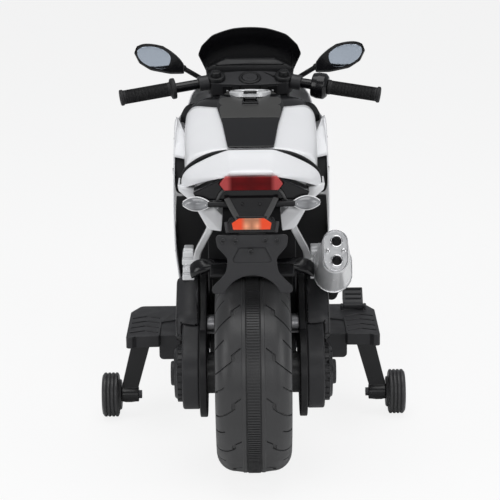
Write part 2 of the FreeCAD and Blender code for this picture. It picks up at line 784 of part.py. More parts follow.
def make_front_wheel():
    """Front wheel with its band, axle, nuts and fender."""
    hub_end = dim("fork_spread") - dim("fork_leg_radius") - FIT
    wheel = moulded_wheel("FrontWheel", dim("front_wheel_radius"), dim("front_tyre_width"),
                          dim("front_shoulder"), hub_end, "5")
    node(at(wheel, FRONT_AXLE), "front_wheel")
    node(at(traction_band("FrontBand", dim("front_wheel_radius")), FRONT_AXLE), "front_traction_band")
    reach = dim("fork_spread") + dim("fork_leg_radius")
    end = Vector(reach + 10, 0, 0)
    axle = rod("FrontAxle", FRONT_AXLE - end, FRONT_AXLE + end, "Dims.axle_diameter / 2")
    nut = new_body("FrontNut")
    pad(nut, "YZ_Plane", rounded(hexagon(11)) + circle(0, 0, dim("axle_diameter") / 2), "8", reach)
    at(nut, FRONT_AXLE)
    node(group("FrontAxleSet", [axle, nut, mirrored(nut, "FrontNutLeft")]), "front_axle")

    fender = new_body("FrontFender")
    low = dim("front_wheel_radius") + 6
    high = low + 9
    half = dim("fork_spread") - dim("fork_leg_radius")

    def sector(inner, outer, start, end):
        return [Part.Arc(*[Vector(inner * math.cos(math.radians(a)), inner * math.sin(math.radians(a)), 0)
                           for a in (start, (start + end) / 2, end)]),
                Part.Arc(*[Vector(outer * math.cos(math.radians(a)), outer * math.sin(math.radians(a)), 0)
                           for a in (start, (start + end) / 2, end)])] + [
            Part.LineSegment(*[Vector(r * math.cos(math.radians(a)), r * math.sin(math.radians(a)), 0)
                               for r in (inner, outer)]) for a in (start, end)]

    pad(fender, "YZ_Plane", sector(low - 16, high, FENDER_FRONT, FENDER_REAR), str(2 * half), both=True)
    pocket(fender, "YZ_Plane", sector(low - 20, low + 5, FENDER_FRONT - 5, FENDER_REAR + 5),
           str(2 * half - 6), both=True)
    node(at(fender, FRONT_AXLE, STEERING.Rotation), "front_fender")


FENDER_FRONT = 30
FENDER_REAR = 150


# Chassis, and the body panels that it carries
HEAD = [STEERING.multVec(Vector(0, *point)) for point in (
    (-26, dim("head_low")), (22, dim("head_low")), (22, dim("head_high")), (-24, dim("head_high")))]
CHASSIS_REAR = dim("rear_wheel_radius") + 15
CHASSIS_TOP = 430
CHASSIS_BOTTOM = 112
CHASSIS_FRONT = 562
FAIRING_REAR = 338
LINER_Y = 372
NOSE_REAR = 694
BOW_RADIUS = 728
BOW = Vector(dim("fairing_half_width") - BOW_RADIUS, 350, 0)


def side_outline(points):
    """Outline seen from the right, given as distances ahead of the rear axle, heights and radii."""
    return [(from_rear(point[0]), *point[1:]) for point in points]


def hump(top, shoulder, base):
    """Arched cross-section from (half width, height) pairs."""
    half = [top, shoulder, base]
    return half + [(-point[0], point[1]) for point in reversed(half)]


def across(sections):
    """Cross-sections at distances ahead of the rear axle, as offsets of the XZ plane."""
    return [(-from_rear(y), points) for y, points in sections]


def sheet_band(centre, radius, wall, low, high):
    """Curved strip seen along Y: the section of a bowed panel, bulging to the right."""
    points = []
    for reach in (radius, radius - wall):
        ends = [Vector(centre.x + math.sqrt(reach ** 2 - (height - centre.y) ** 2), height, 0)
                for height in (low, high)]
        middle = Vector(centre.x + reach, centre.y, 0)
        points.append((ends[0], middle, ends[1]))
    outer, inner = points
    return [Part.Arc(*outer), Part.Arc(*inner), Part.LineSegment(outer[0], inner[0]),
            Part.LineSegment(outer[2], inner[2])]


def common(name, pieces):
    piece = doc.addObject("Part::MultiCommon", name)
    piece.Shapes = pieces
    doc.recompute()
    return piece


def make_chassis():
    """Two moulded halves that meet on the middle plane, carry the steering stem and hold the battery."""
    half = new_body("Chassis")
    wide = dim("swingarm_inner")
    wall = dim("chassis_wall")
    block = [(CHASSIS_REAR, CHASSIS_BOTTOM, 24), (CHASSIS_FRONT, CHASSIS_BOTTOM - 6, 40),
             (CHASSIS_FRONT + 8, 240, 40), (604, 330, 40), (604, 420, 12), (470, 450, 40),
             (400, CHASSIS_TOP, 40), (CHASSIS_REAR, CHASSIS_TOP, 16)]
    bay = [(CHASSIS_REAR + wall, CHASSIS_BOTTOM + wall, 20),
           (CHASSIS_FRONT - wall, CHASSIS_BOTTOM - 6 + wall, 36),
           (CHASSIS_FRONT + 8 - wall, 240, 40), (604 - wall, 330 + wall, 36), (604 - wall, 416, 8),
           (470, 446, 40), (400, CHASSIS_TOP - wall, 40), (CHASSIS_REAR + wall, CHASSIS_TOP - wall, 12)]
    pad(half, "YZ_Plane", rounded(side_outline(block)), "Dims.swingarm_inner")
    pocket(half, "YZ_Plane", rounded(side_outline(bay)), "Dims.swingarm_inner - Dims.chassis_wall",
           offset=wide - wall)
    corners = [(point.y, point.z, 4) for point in HEAD]
    neck = [(from_rear(470), 400), (from_rear(606), 420)] + corners + [(from_rear(480), 492, 20)]
    pad(half, "YZ_Plane", rounded(neck), "Dims.neck_half_width")
    bolt = (from_rear(PIVOT_AT[0]), dim("rear_wheel_radius") + PIVOT_AT[1])
    pocket(half, "YZ_Plane", circle(*bolt, PIVOT_BOLT), "2 * Dims.chassis_wall", offset=wide + 1)
    slot = beam_outline(0)
    pocket(half, "YZ_Plane", rounded(slot), "2 * Dims.swingarm_inner", offset=wide + 1)
    sleeve = rod("HeadRoom", STEERING.multVec(Vector(0, 0, dim("head_low") - 10)),
                 STEERING.multVec(Vector(0, 0, dim("head_high") + 10)),
                 "Dims.stem_radius + Dims.run_clearance")
    lined = fused("ChassisLined", [half, fairing_liner()])
    both_sides(cut("ChassisBored", lined, [sleeve]), "chassis_halves")

    bolt_body = new_body("PivotBolt")
    reach = dim("swingarm_outer")
    pad(bolt_body, "YZ_Plane", circle(*bolt, PIVOT_BOLT), "Dims.swingarm_outer - Dims.swingarm_inner"
        " + Dims.chassis_wall + 6", reach, back=True)
    pad(bolt_body, "YZ_Plane", rounded(hexagon(11, *bolt)), "6", reach)
    fasten(bolt_body)


def beam_outline(gap):
    """Section of the footrest beam, with room round it."""
    side = dim("beam_side")
    rear = dim("footrest_rear") + (dim("footrest_length") - side) / 2
    low = dim("footrest_height") - dim("footrest_thickness") - side
    return side_outline([(rear - gap, low - gap, 3), (rear + side + gap, low - gap, 3),
                         (rear + side + gap, low + side + gap, 3), (rear - gap, low + side + gap, 3)])


def make_power():
    """Battery and control box on the floor of the chassis."""
    floor = dim("footrest_height") - dim("footrest_thickness")
    battery = new_body("Battery")
    pad(battery, "YZ_Plane",
        rounded(side_outline([(216, floor, 4), (366, floor, 4), (366, floor + 94, 4), (216, floor + 94, 4)])),
        "65", both=True)
    for reach in (240, 342):
        pad(battery, "YZ_Plane",
            rounded(side_outline([(reach - 6, floor + 94), (reach + 6, floor + 94), (reach + 6, floor + 100),
                                  (reach - 6, floor + 100)])), "4", both=True)
    node(battery, "battery")
    box = new_body("ControlBox")
    pad(box, "YZ_Plane",
        rounded(side_outline([(394, CHASSIS_BOTTOM, 4), (490, CHASSIS_BOTTOM, 4), (490, 170, 4),
                              (394, 170, 4)])), "70", both=True)
    node(cut("ControlBoxSeated", box, [made("chassis_halves")]), "control_box")


def make_seat_and_tail():
    """Black under-tray from the chassis to the tail light, the seat on it, and the white cowl."""
    tray_body = new_body("TailTray")
    spine = [(TAIL_REAR, 512, 4), (TAIL_REAR, TRAY_LOW, 6), (60, 468, 60), (CHASSIS_REAR, CHASSIS_TOP),
             (SEAT_FRONT, CHASSIS_TOP), (SEAT_FRONT, CHASSIS_TOP + 10), (190, 448, 60), (30, 504, 30),
             (-10, 512, 10)]
    pad(tray_body, "YZ_Plane", rounded(side_outline(spine)), "2 * Dims.tray_half_width", both=True)
    wings = [(36, 541), (98, 511), (90, TRAY_LOW, 6), (-90, TRAY_LOW, 6), (-98, 511), (-36, 541)]
    pad(tray_body, "XZ_Plane", rounded(wings), "40", offset=-from_rear(TAIL_REAR), back=True)
    lens_room = rounded(lens_outline(FIT / 2))
    pocket(tray_body, "XZ_Plane", lens_room, "8", offset=-from_rear(TAIL_REAR))
    tray = node(tray_body, "tail_tray")

    seat_body = new_body("Seat")
    loft(seat_body, "XZ_Plane", across([
        (SEAT_FRONT, hump((44, 496), (86, 474), (88, 436))),
        (210, hump((54, 474), (98, 460), (100, 440))),
        (110, hump((54, 510), (106, 492), (108, 468))),
        (50, hump((46, 556), (112, 520), (114, 486))),
        (SEAT_REAR, hump((41, 578), (100, 532), (102, 500)))]))
    seat = node(cut("SeatSeated", seat_body, [tray]), "seat")

    cowl_body = new_body("TailCowl")
    wide = dim("tail_half_width")
    loft(cowl_body, "XZ_Plane", across([
        (150, hump((60, 474), (wide - 6, 484), (wide - 8, 452))),
        (60, hump((50, 540), (wide - 1, 517), (wide - 1, 487))),
        (SEAT_REAR, hump((42, 574), (wide - 14, 528), (wide - 12, 500))),
        (-24, hump((39, 562), (wide - 24, 520), (wide - 26, 509))),
        (TAIL_REAR - 2, hump((34, 547), (46, 541), (44, 534)))]))
    lens = new_body("TailLight")
    pad(lens, "XZ_Plane", rounded(lens_outline(0)), "18", offset=-from_rear(TAIL_REAR + 8))
    node(lens, "tail_light")
    cowl = cut("TailCowlSeated", cowl_body, [seat, tray, lens])

    panel = new_body("TailPanel")
    wing = [(wide - 1, 510, 3), (wide - 2, 488, 6), (96, 438, 10), (62, 432, 8), (54, 466, 4), (84, 470, 6),
            (106, 505, 4)]
    pad(panel, "XZ_Plane", rounded(wing), "66", offset=-from_rear(-8), back=True)
    return cowl, cut("TailPanelSeated", panel, [tray, cowl_body, seat])


def lens_outline(gap):
    """Six-sided tail light lens, seen from behind."""
    return [(53 + gap, 527), (45 + gap, 516.5 - gap, 2), (-45 - gap, 516.5 - gap, 2), (-53 - gap, 527),
            (-43 - gap, 539.5 + gap, 2), (43 + gap, 539.5 + gap, 2)]


def tank_sections(inset):
    """Cross-sections of the tank; the inset makes the hollow under it."""
    low = 6 if inset else 0
    sections = []
    for y, top, shoulder, base in (
            (TANK_REAR, (44, 512), (118, 492), (122, 436)),
            (380, (54, 540), (126, 518), (128, 452)),
            (450, (66, 562), (dim("tank_half_width") - 1, 549), (126, 466)),
            (500, (62, 572), (115, 558), (111, 478)),
            (TANK_FRONT, (44, 570), (84, 554), (74, 500))):
        middle = y + (inset if y == TANK_REAR else -inset if y == TANK_FRONT else 0)
        sections.append((middle, hump((top[0] - inset, top[1] - inset),
                                      (shoulder[0] - inset, shoulder[1] - inset),
                                      (base[0] - inset, base[1] - low))))
    return across(sections)


def make_tank():
    """Hollow tank shell, its black top panel, the fuel cap and the rocker switch."""
    shell = new_body("Tank")
    loft(shell, "XZ_Plane", tank_sections(0))
    loft(shell, "XZ_Plane", tank_sections(dim("tank_wall")), "SubtractiveLoft")
    tank = cut("TankSeated", shell, [made("chassis_halves"), made("seat"), made("tail_tray")])

    strip = new_body("TankPanel")
    loft(strip, "XZ_Plane", across([
        (TANK_REAR + 1, hump((42, 515), (44, 511), (42, 500))),
        (380, hump((52, 543), (54, 539), (52, 528))),
        (450, hump((64, 565), (66, 561), (64, 550))),
        (500, hump((60, 575), (62, 571), (60, 560))),
        (TANK_FRONT - 1, hump((42, 573), (44, 569), (42, 558)))]))
    solid = new_body("TankSolid")
    loft(solid, "XZ_Plane", tank_sections(0))
    panel = cut("TankPanelSeated", strip, [solid])

    switch_frame = Placement(Vector(0, from_rear(SWITCH_Y), SWITCH_Z), Rotation(Vector(1, 0, 0), SWITCH_TILT))
    room = new_body("SwitchRoom")
    pad(room, "XY_Plane", rounded([(-15, -11, 2), (15, -11, 2), (15, 11, 2), (-15, 11, 2)]), "40", -26)
    at(room, switch_frame.Base, switch_frame.Rotation)
    frame = new_body("SwitchFrame")
    pad(frame, "XY_Plane", rounded([(-15, -11, 2), (15, -11, 2), (15, 11, 2), (-15, 11, 2)]), "23", -17)
    pocket(frame, "XY_Plane", rounded([(-10.5, -7.5), (10.5, -7.5), (10.5, 7.5), (-10.5, 7.5)]), "19",
           offset=6.5)
    pocket(frame, "YZ_Plane", circle(0, 0, 1.5 + RUN), "40", both=True)
    rocker = new_body("Rocker")
    pad(rocker, "YZ_Plane", rounded([(-6.6, -3), (0, -5), (6.6, -3), (6.6, 6.6), (0, 5.4), (-6.6, 6.6)]),
        "20", both=True)
    pad(rocker, "YZ_Plane", circle(0, 0, 1.5), "26", both=True)
    cap_frame = Placement(Vector(0, from_rear(CAP_Y), CAP_Z), Rotation(Vector(1, 0, 0), CAP_TILT))
    ring = new_body("FuelCap")
    pad(ring, "XY_Plane", circle(0, 0, 41) + circle(0, 0, 30), "12", -8)
    pad(ring, "XY_Plane", circle(0, 0, 31), "9", -8)
    pad(ring, "XY_Plane", rounded([(-8, -34, 2), (8, -34, 2), (8, -8, 2), (-8, -8, 2)]), "4", 0)
    at(ring, cap_frame.Base, cap_frame.Rotation)
    node(cut("TankBored", tank, [room]), "tank_shell")
    at(frame, switch_frame.Base, switch_frame.Rotation)
    panel = node(fused("TankPanelFramed", [cut("TankPanelBored", panel, [room]), frame]), "tank_top_panel")
    node(at(rocker, switch_frame.Base, switch_frame.Rotation), "power_switch")
    node(cut("FuelCapSeated", ring, [solid, panel]), "fuel_cap")
    return solid


TAIL_REAR = -58
TRAY_LOW = 498
SEAT_FRONT = 296
SEAT_REAR = 2
TANK_REAR = SEAT_FRONT
TANK_FRONT = 552
SWITCH_Y = 462
SWITCH_Z = 567
SWITCH_TILT = 14
CAP_Y = 522
CAP_Z = 576
CAP_TILT = -6


def make_fairings(tank):
    """Bowed side fairings that meet the sides of the tank."""
    outline = new_body("FairingOutline")
    edge = [(FAIRING_REAR + 6, 232, 20), (372, 186, 24), (560, 160, 50), (612, 300, 60), (650, 420, 40),
            (NOSE_REAR, 470, 4), (NOSE_REAR, 516, 4), (505, 512, 12), (478, 528, 10), (436, 529, 8),
            (412, 470, 40), (FAIRING_REAR, 330, 60)]
    pad(outline, "YZ_Plane", rounded(side_outline(edge)), "Dims.fairing_half_width + 20")
    band = new_body("FairingBand")
    pad(band, "XZ_Plane", sheet_band(BOW, BOW_RADIUS, dim("fairing_wall"), 130, 600), "460",
        offset=-from_rear(FAIRING_REAR - 20), back=True)
    both_sides(cut("FairingSeated", common("Fairing", [outline, band]), [tank]), "side_fairings")


def fairing_liner():
    """Upright web between a chassis half and the inside of its fairing."""
    liner = new_body("FairingLiner")
    inside = BOW_RADIUS - dim("fairing_wall")

    def bow(height):
        return Vector(BOW.x + math.sqrt(inside ** 2 - (height - BOW.y) ** 2), height, 0)

    low, high = 236, 404
    inner = dim("swingarm_inner")
    pad(liner, "XZ_Plane",
        [Part.Arc(bow(low), bow((low + high) / 2), bow(high)),
         Part.LineSegment(bow(high), Vector(inner, high, 0)),
         Part.LineSegment(Vector(inner, high, 0), Vector(inner, low, 0)),
         Part.LineSegment(Vector(inner, low, 0), bow(low))], "5", offset=-from_rear(LINER_Y), back=True)
    return liner


def nose_sections(inset):
    """Cross-sections of the nose, closed below; the inset makes the hollow behind it."""
    sections = []
    for y, half in (
            (NOSE_REAR, [(80, 590), (120, 540), (137, 474), (84, 457)]),
            (770, [(66, 574), (100, 530), (98, 474), (60, 455)]),
            (840, [(40, 544), (66, 516), (60, 480), (36, 456)]),
            (880, [(14, 506), (24, 498), (22, 484), (12, 474)])):
        middle = sum(point[1] for point in half) / len(half)
        shrunk = [(point[0] - inset, point[1] - math.copysign(inset, point[1] - middle)) for point in half]
        reach = y - inset if y > NOSE_REAR else y - (1 if inset else 0)
        sections.append((reach, shrunk + [(-point[0], point[1]) for point in reversed(shrunk)]))
    return across(sections)


def make_nose():
    """Hollow nose with the headlight set in it, windscreen and dashboard."""
    outside = new_body("NoseSolid")
    loft(outside, "XZ_Plane", nose_sections(0))
    shell = new_body("Nose")
    loft(shell, "XZ_Plane", nose_sections(0))
    loft(shell, "XZ_Plane", nose_sections(dim("fairing_wall")), "SubtractiveLoft")
    window = new_body("HeadlightWindow")
    pad(window, "XZ_Plane", rounded([(70, 506), (62, 490), (12, 486), (-12, 486), (-62, 490), (-70, 506),
                                     (-30, 502), (30, 502)]), "200", offset=-from_rear(790), back=True)
    node(common("Headlight", [shell, window]), "headlight")
    node(cut("NoseWindowed", shell, [window]), "nose_fairing")

    frame = Placement(Vector(0, from_rear(SCREEN_BASE[0]), SCREEN_BASE[1]),
                      Rotation(Vector(1, 0, 0), SCREEN_LEAN))
    outline = new_body("ScreenOutline")
    half = [(84, -14), (87, 18, 6), (105, 84, 12), (98, 102, 10), (76, 119, 20), (34, 124, 20)]
    pad(outline, "XZ_Plane", rounded(half + [(-point[0], *point[1:]) for point in reversed(half)]), "240",
        both=True)
    bow = new_body("ScreenBow")
    radius = SCREEN_BOW
    wall = dim("screen_wall")
    pad(bow, "XY_Plane", circle(0, -radius, radius) + circle(0, -radius, radius - wall), "200", -40)
    sheet_piece = at(common("ScreenSheet", [outline, bow]), frame.Base, frame.Rotation)
    node(cut("ScreenSeated", sheet_piece, [outside]), "windscreen")

    dash = new_body("Dashboard")
    profile = [(DASH_REAR, 566), (DASH_REAR, 606, 8), (680, 627, 14), (698, 608, 8), (704, 578)]
    pad(dash, "YZ_Plane", rounded(side_outline(profile)), "180", both=True)
    arch = new_body("DashArch")
    ends = [Vector(-90, 599, 0), Vector(90, 599, 0)]
    feet = [Vector(-84, 560, 0), Vector(84, 560, 0)]
    pad(arch, "XZ_Plane", [Part.Arc(ends[0], Vector(0, 627, 0), ends[1]), Part.LineSegment(ends[1], feet[1]),
                           Part.LineSegment(feet[1], feet[0]), Part.LineSegment(feet[0], ends[0])],
        "60", offset=-from_rear(DASH_REAR - 10), back=True)
    dome = common("DashDome", [dash, arch])
    node(cut("DashSeated", dome, [outside, made("windscreen")]), "dashboard")
    return outside


def make_mirrors(nose):
    """Stalk on the nose with a ball at its end; the head turns on the ball and holds the glass."""
    ball = Vector(MIRROR_BALL[0], from_rear(MIRROR_BALL[1]), MIRROR_BALL[2])
    foot = Vector(90, from_rear(MIRROR_BALL[1] + 14), 566)
    arm = rod("MirrorArm", foot, ball, "5")
    knob = doc.addObject("Part::Sphere", "MirrorKnob")
    knob.Radius = BALL_RADIUS
    at(knob, ball)
    stalk = fused("MirrorStalk", [arm, knob])
    both_sides(cut("MirrorStalkSeated", stalk, [nose]), "mirror_stalks")

    head = new_body("MirrorHead")
    face = [(-1, -9, 6), (26, -8, 10), (66, 0, 14), (88, 15, 14), (97, 34, 8), (92, 46, 8), (76, 51, 14),
            (40, 46, 20), (16, 27, 14), (1, 11, 4)]
    outline = [(ball.x + point[0], ball.z + point[1], point[2]) for point in face]
    glass_edge = [(ball.x + u, ball.z + v, r) for u, v, r in (
        (30, -2, 5), (64, 4.5, 12), (85, 18, 12), (93, 34, 7), (89, 42.5, 7), (76, 46.5, 12), (42, 42, 16),
        (24, 27, 8))]
    pad(head, "XZ_Plane", rounded(outline), "20", offset=-ball.y, both=True)
    pocket(head, "XZ_Plane", rounded(glass_edge), "3", offset=-ball.y + 10)
    socket = doc.addObject("Part::Sphere", "MirrorSocket")
    socket.Radius = BALL_RADIUS + FIT
    at(socket, ball)
    collar = rod("MirrorCollar", foot + (ball - foot) * 0.6, ball, "9")
    pair(cut("MirrorHeadSocketed", head, [socket, collar]), "mirror_head")
    glass = new_body("MirrorGlass")
    pad(glass, "XZ_Plane", rounded(glass_edge), "3", offset=-ball.y + 10 - 3)
    pair(glass, "mirror_glass")


SCREEN_BASE = (760, 577)
SCREEN_LEAN = 33
SCREEN_BOW = 170
DASH_REAR = 664
MIRROR_BALL = (136, 700, 596)
BALL_RADIUS = 7


def make_tail_end(cowl, panel):
    """Plate hanger with the signal stalks, turn signals, reflector, rear fender and its screws."""
    hanger = new_body("PlateHanger")
    spine = [(TAIL_REAR, 506), (TAIL_REAR - 9, 503), (HANGER_LOW[0] - 8, HANGER_LOW[1]), HANGER_LOW,
             (TAIL_REAR - 2, 484), (-24, 484), (-24, 500)]
    pad(hanger, "YZ_Plane", rounded(side_outline(spine)), "90", both=True)
    taper = new_body("HangerTaper")
    flank = [(45, 520), (45, 500), (22, 472), (22, HANGER_LOW[1] - 10)]
    pad(taper, "XZ_Plane", rounded(flank + [(-point[0], point[1]) for point in reversed(flank)]), "120",
        offset=-from_rear(TAIL_REAR), both=True)
    hanger = common("HangerPlate", [hanger, taper])
    stalk = rod("SignalStalk", Vector(36, from_rear(-68), 493), Vector(73, from_rear(-68), 494), "5")
    plate = new_body("ReflectorFrame")
    pad(plate, "XZ_Plane", rounded([(-41, -13, 3), (41, -13, 3), (38, 12, 4), (-38, 12, 4)]), "4")
    lens = new_body("Reflector")
    edge = [(-35, -10.5, 1), (35, -10.5, 1), (35, 6), (30, 10.5), (-30, 10.5), (-35, 6)]
    pad(lens, "XZ_Plane", rounded(edge), "7", offset=2)
    slope = math.degrees(math.atan2(TAIL_REAR - 1 - HANGER_LOW[0], 503 - HANGER_LOW[1]))
    seat = Vector(0, from_rear(-84), 462)
    for piece in (plate, lens):
        at(piece, seat, Rotation(Vector(1, 0, 0), -slope))
    carrier = fused("HangerSolid", [hanger, stalk, mirrored(stalk, "SignalStalkLeft"), plate])
    node(cut("HangerSeated", carrier, [made("tail_tray"), lens]), "plate_hanger")
    node(lens, "rear_reflector")

    signal = new_body("TurnSignal")
    reach, swell, tip = 50, 11.5, 1.5
    revolve(signal, [
        Part.Arc(Vector(0, tip, 0), Vector(reach * 0.45, swell, 0), Vector(reach, tip, 0)),
        Part.LineSegment(Vector(reach, tip, 0), Vector(reach, 0, 0)),
        Part.LineSegment(Vector(reach, 0, 0), Vector(0, 0, 0)),
        Part.LineSegment(Vector(0, 0, 0), Vector(0, tip, 0))])
    at(signal, Vector(67, from_rear(-68), 494), Rotation(Vector(0, 0, 1), 8))
    both_sides(cut("TurnSignalSeated", signal, [stalk, made("tail_tray")]), "turn_signals")

    fender = new_body("RearFender")
    half = [(61, 0, 6), (58, -20, 12), (40, -40, 14), (44, -64, 24), (68, -88, 8), (66, -98, 6)]
    pad(fender, "XZ_Plane", rounded(half + [(-point[0], *point[1:]) for point in reversed(half)]), "8")
    pocket(fender, "XZ_Plane", circle(0, -120, 52), "20", offset=10)
    recess = [(-34, -46, 4), (34, -46, 4), (22, -22, 4), (-22, -22, 4)]
    pocket(fender, "XZ_Plane", rounded(recess), "2", offset=8)
    place = Placement(Vector(0, from_rear(HANGER_LOW[0] - 4), HANGER_LOW[1]),
                      Rotation(Vector(1, 0, 0), -FENDER_LEAN))
    at(fender, place.Base, place.Rotation)
    node(cut("RearFenderSeated", fender, [made("plate_hanger")]), "rear_fender")
    screws = []
    for index, (x, z) in enumerate(((-48, -10), (-28, -10), (22, -10), (42, -10), (-2, -28))):
        screws.append(rod(f"FenderScrew{index}", place.multVec(Vector(x, -8 if z > -20 else -6, z)),
                          place.multVec(Vector(x, -11, z)), "4"))
    FASTENERS.extend(screws)

    flap = new_body("InnerFender")
    outer = CHASSIS_REAR
    inner = outer - 6
    turns = [math.radians(angle) for angle in (0, 50, 100)]
    arcs = [[Vector(r * math.cos(a), r * math.sin(a), 0) for a in turns] for r in (outer, inner)]
    pad(flap, "YZ_Plane", [Part.Arc(*arcs[0]), Part.Arc(*arcs[1]), Part.LineSegment(arcs[0][0], arcs[1][0]),
                           Part.LineSegment(arcs[0][2], arcs[1][2])], "144", both=True)
    node(at(flap, REAR_AXLE), "inner_fender")

    strut_top = Vector(56, from_rear(-6), 492)
    strut_low = Vector(109, from_rear(106), 350)
    strut = rod("Strut", strut_top, strut_low, "7")
    block = new_body("StrutBlock")
    pad(block, "XZ_Plane", rounded([(102, 314), (124, 314), (124, 376, 4), (102, 376, 4)]), "30",
        offset=-from_rear(92), back=True)
    both_sides(cut("StrutSeated", fused("StrutSolid", [strut, block]),
                   [made("tail_tray"), made("swingarm_covers"), made("swingarms")]), "subframe_struts")
    bored = cut("TailPanelBored", panel, [strut])
    node(group("TailCowlSet", [cowl, bored, mirrored(bored, "TailPanelLeft")]), "tail_cowl")


def make_exhaust():
    """Silencer on the right, its end cap with two outlets, and the pipe to the chassis."""
    frame = Placement(Vector(EXHAUST_AT[0], from_rear(EXHAUST_AT[1]), EXHAUST_AT[2]),
                      Rotation(Vector(1, 0, 0), -dim("exhaust_tilt")))

    def stadium(width, height):
        round_end = width / 2 - 1
        return [(u * width / 2, v * height / 2, round_end) for u, v in ((-1, -1), (1, -1), (1, 1), (-1, 1))]

    mouth = stadium(dim("exhaust_width"), dim("exhaust_height"))
    liner = stadium(dim("exhaust_width") - 6, dim("exhaust_height") - 6)
    belly = stadium(dim("exhaust_belly"), dim("exhaust_height") + 12)
    can = new_body("ExhaustCan")
    loft(can, "XZ_Plane", [(0, mouth), (-dim("exhaust_length"), belly)])
    pocket(can, "XZ_Plane", rounded(liner), "24")
    at(can, frame.Base, frame.Rotation)
    cap = new_body("ExhaustCap")
    pad(cap, "XZ_Plane", rounded(mouth), "6")
    pad(cap, "XZ_Plane", rounded(liner), "12", back=True)
    for z in (-17, 17):
        pad(cap, "XZ_Plane", circle(2, z, dim("exhaust_outlet") / 2 + 2), "3", offset=6)
        pocket(cap, "XZ_Plane", circle(2, z, dim("exhaust_outlet") / 2), "16", offset=10)
    node(at(cap, frame.Base, frame.Rotation), "exhaust_end_cap")
    screws = [rod(f"CapScrew{index}", frame.multVec(Vector(x, -6, 0)),
                  frame.multVec(Vector(x, -8.5, 0)), "3.5")
              for index, x in enumerate((-13, 14))]
    FASTENERS.extend(screws)

    tab = new_body("ExhaustTab")
    ear = [(60, 342, 4), (98, 342, 4), (98, 366, 4), (60, 366, 4)]
    pad(tab, "YZ_Plane", rounded(side_outline(ear)), "20", 118)
    tabbed = fused("ExhaustCanTabbed", [can, tab])
    node(cut("ExhaustCanSeated", tabbed, [made("subframe_struts")]), "exhaust_can")

    start = frame.multVec(Vector(0, dim("exhaust_length") - 6, 0))
    knees = [start] + [Vector(x, from_rear(y), z) for x, y, z in EXHAUST_ROUTE]
    lengths = [rod(f"PipeLength{index}", a, b, "11") for index, (a, b) in enumerate(zip(knees, knees[1:]))]
    for index, knee in enumerate(knees[1:-1]):
        ball = doc.addObject("Part::Sphere", f"PipeKnee{index}")
        ball.Radius = 11
        lengths.append(at(ball, knee))
    side = new_body("ChassisSide")
    pad(side, "YZ_Plane", rounded(side_outline([(200, 120), (500, 120), (500, 400), (200, 400)])),
        "Dims.swingarm_inner")
    node(cut("ExhaustPipe", fused("PipeSolid", lengths), [tabbed, side]), "exhaust_pipe")


def make_footrests():
    """Grooved footrests on the cross beam, and the pedal on the right one."""
    beam = new_body("FootrestBeam")
    pad(beam, "YZ_Plane", rounded(beam_outline(0)), "2 * Dims.footrest_inner + 68", both=True)
    node(beam, "footrest_beam")
    rest = new_body("Footrest")
    top = dim("footrest_height")
    inner, outer = dim("footrest_inner"), dim("footrest_outer")
    rear = from_rear(dim("footrest_rear"))
    front = rear + dim("footrest_length")
    sole = [(inner + 38, rear + 8, 4), (outer - 18, rear + 6, 4), (outer - 12, rear, 4), (outer, rear, 6),
            (outer, front - 40, 14), (outer - 18, front, 12), (inner, front, 8), (inner, rear + 112, 6),
            (inner + 38, rear + 96, 6)]
    pad(rest, "XY_Plane", rounded(sole), "Dims.footrest_thickness", top, back=True)
    low, high = top - dim("footrest_thickness") - dim("beam_side") + 2, top - 3
    block = [(inner, low, 10), (inner + 40, low, 8), (inner + 40, high, 2), (inner, high, 8)]
    pad(rest, "XZ_Plane", rounded(block), "Dims.footrest_length - 40", offset=-(rear + 20), back=True)
    left, middle, right = inner + 42, (inner + outer) / 2 + 18, outer - 6
    for row in range(4):
        y = rear + 26 + row * 30
        chevron = [(left, y), (middle, y + 12), (right, y), (right, y + 6), (middle, y + 18), (left, y + 6)]
        pocket(rest, "XY_Plane", rounded(chevron), "3", offset=top)
    bored = cut("FootrestBored", rest, [beam])
    node(mirrored(bored, "FootrestLeft"), "footrest_left")

    pin_at = Vector(PEDAL_X, front - 40, top + 6)
    half = dim("pedal_width") / 2
    lugs = []
    for hand in (1, -1):
        lug = new_body(f"PedalLug{'Right' if hand > 0 else 'Left'}")
        ear = [(pin_at.y - 7, top), (pin_at.y + 7, top), (pin_at.y + 7, top + 12, 5),
               (pin_at.y - 7, top + 12, 5)]
        pad(lug, "YZ_Plane", rounded(ear), "5", pin_at.x + hand * (half + FIT + 2.5), both=True)
        lugs.append(lug)
    pin = rod("PedalPin", pin_at - Vector(half + FIT + 5, 0, 0), pin_at + Vector(half + FIT + 5, 0, 0), "2.5")
    node(cut("FootrestLugs", fused("FootrestRight", [bored] + lugs), [pin]), "footrest_right")
    fasten(pin, twice=False)
    pedal = new_body("FootPedal")
    side = [(-5, -3, 2), (4, -4.5), (40, 4), (40, 26, 6), (30, 30, 8), (4, 8, 16), (-5, 5, 3)]
    pad(pedal, "YZ_Plane", rounded(side), "Dims.pedal_width", both=True)
    pocket(pedal, "YZ_Plane", circle(0, 0, 2.5 + RUN), "2 * Dims.pedal_width", both=True)
    for step in range(3):
        y = 9 + 8 * step
        low = 8 + 6 * step
        pocket(pedal, "YZ_Plane", rounded([(y, low), (y + 2.4, low), (y + 2.4, 40), (y, 40)]),
               "Dims.pedal_width - 8", both=True)
    node(at(pedal, pin_at), "foot_pedal")


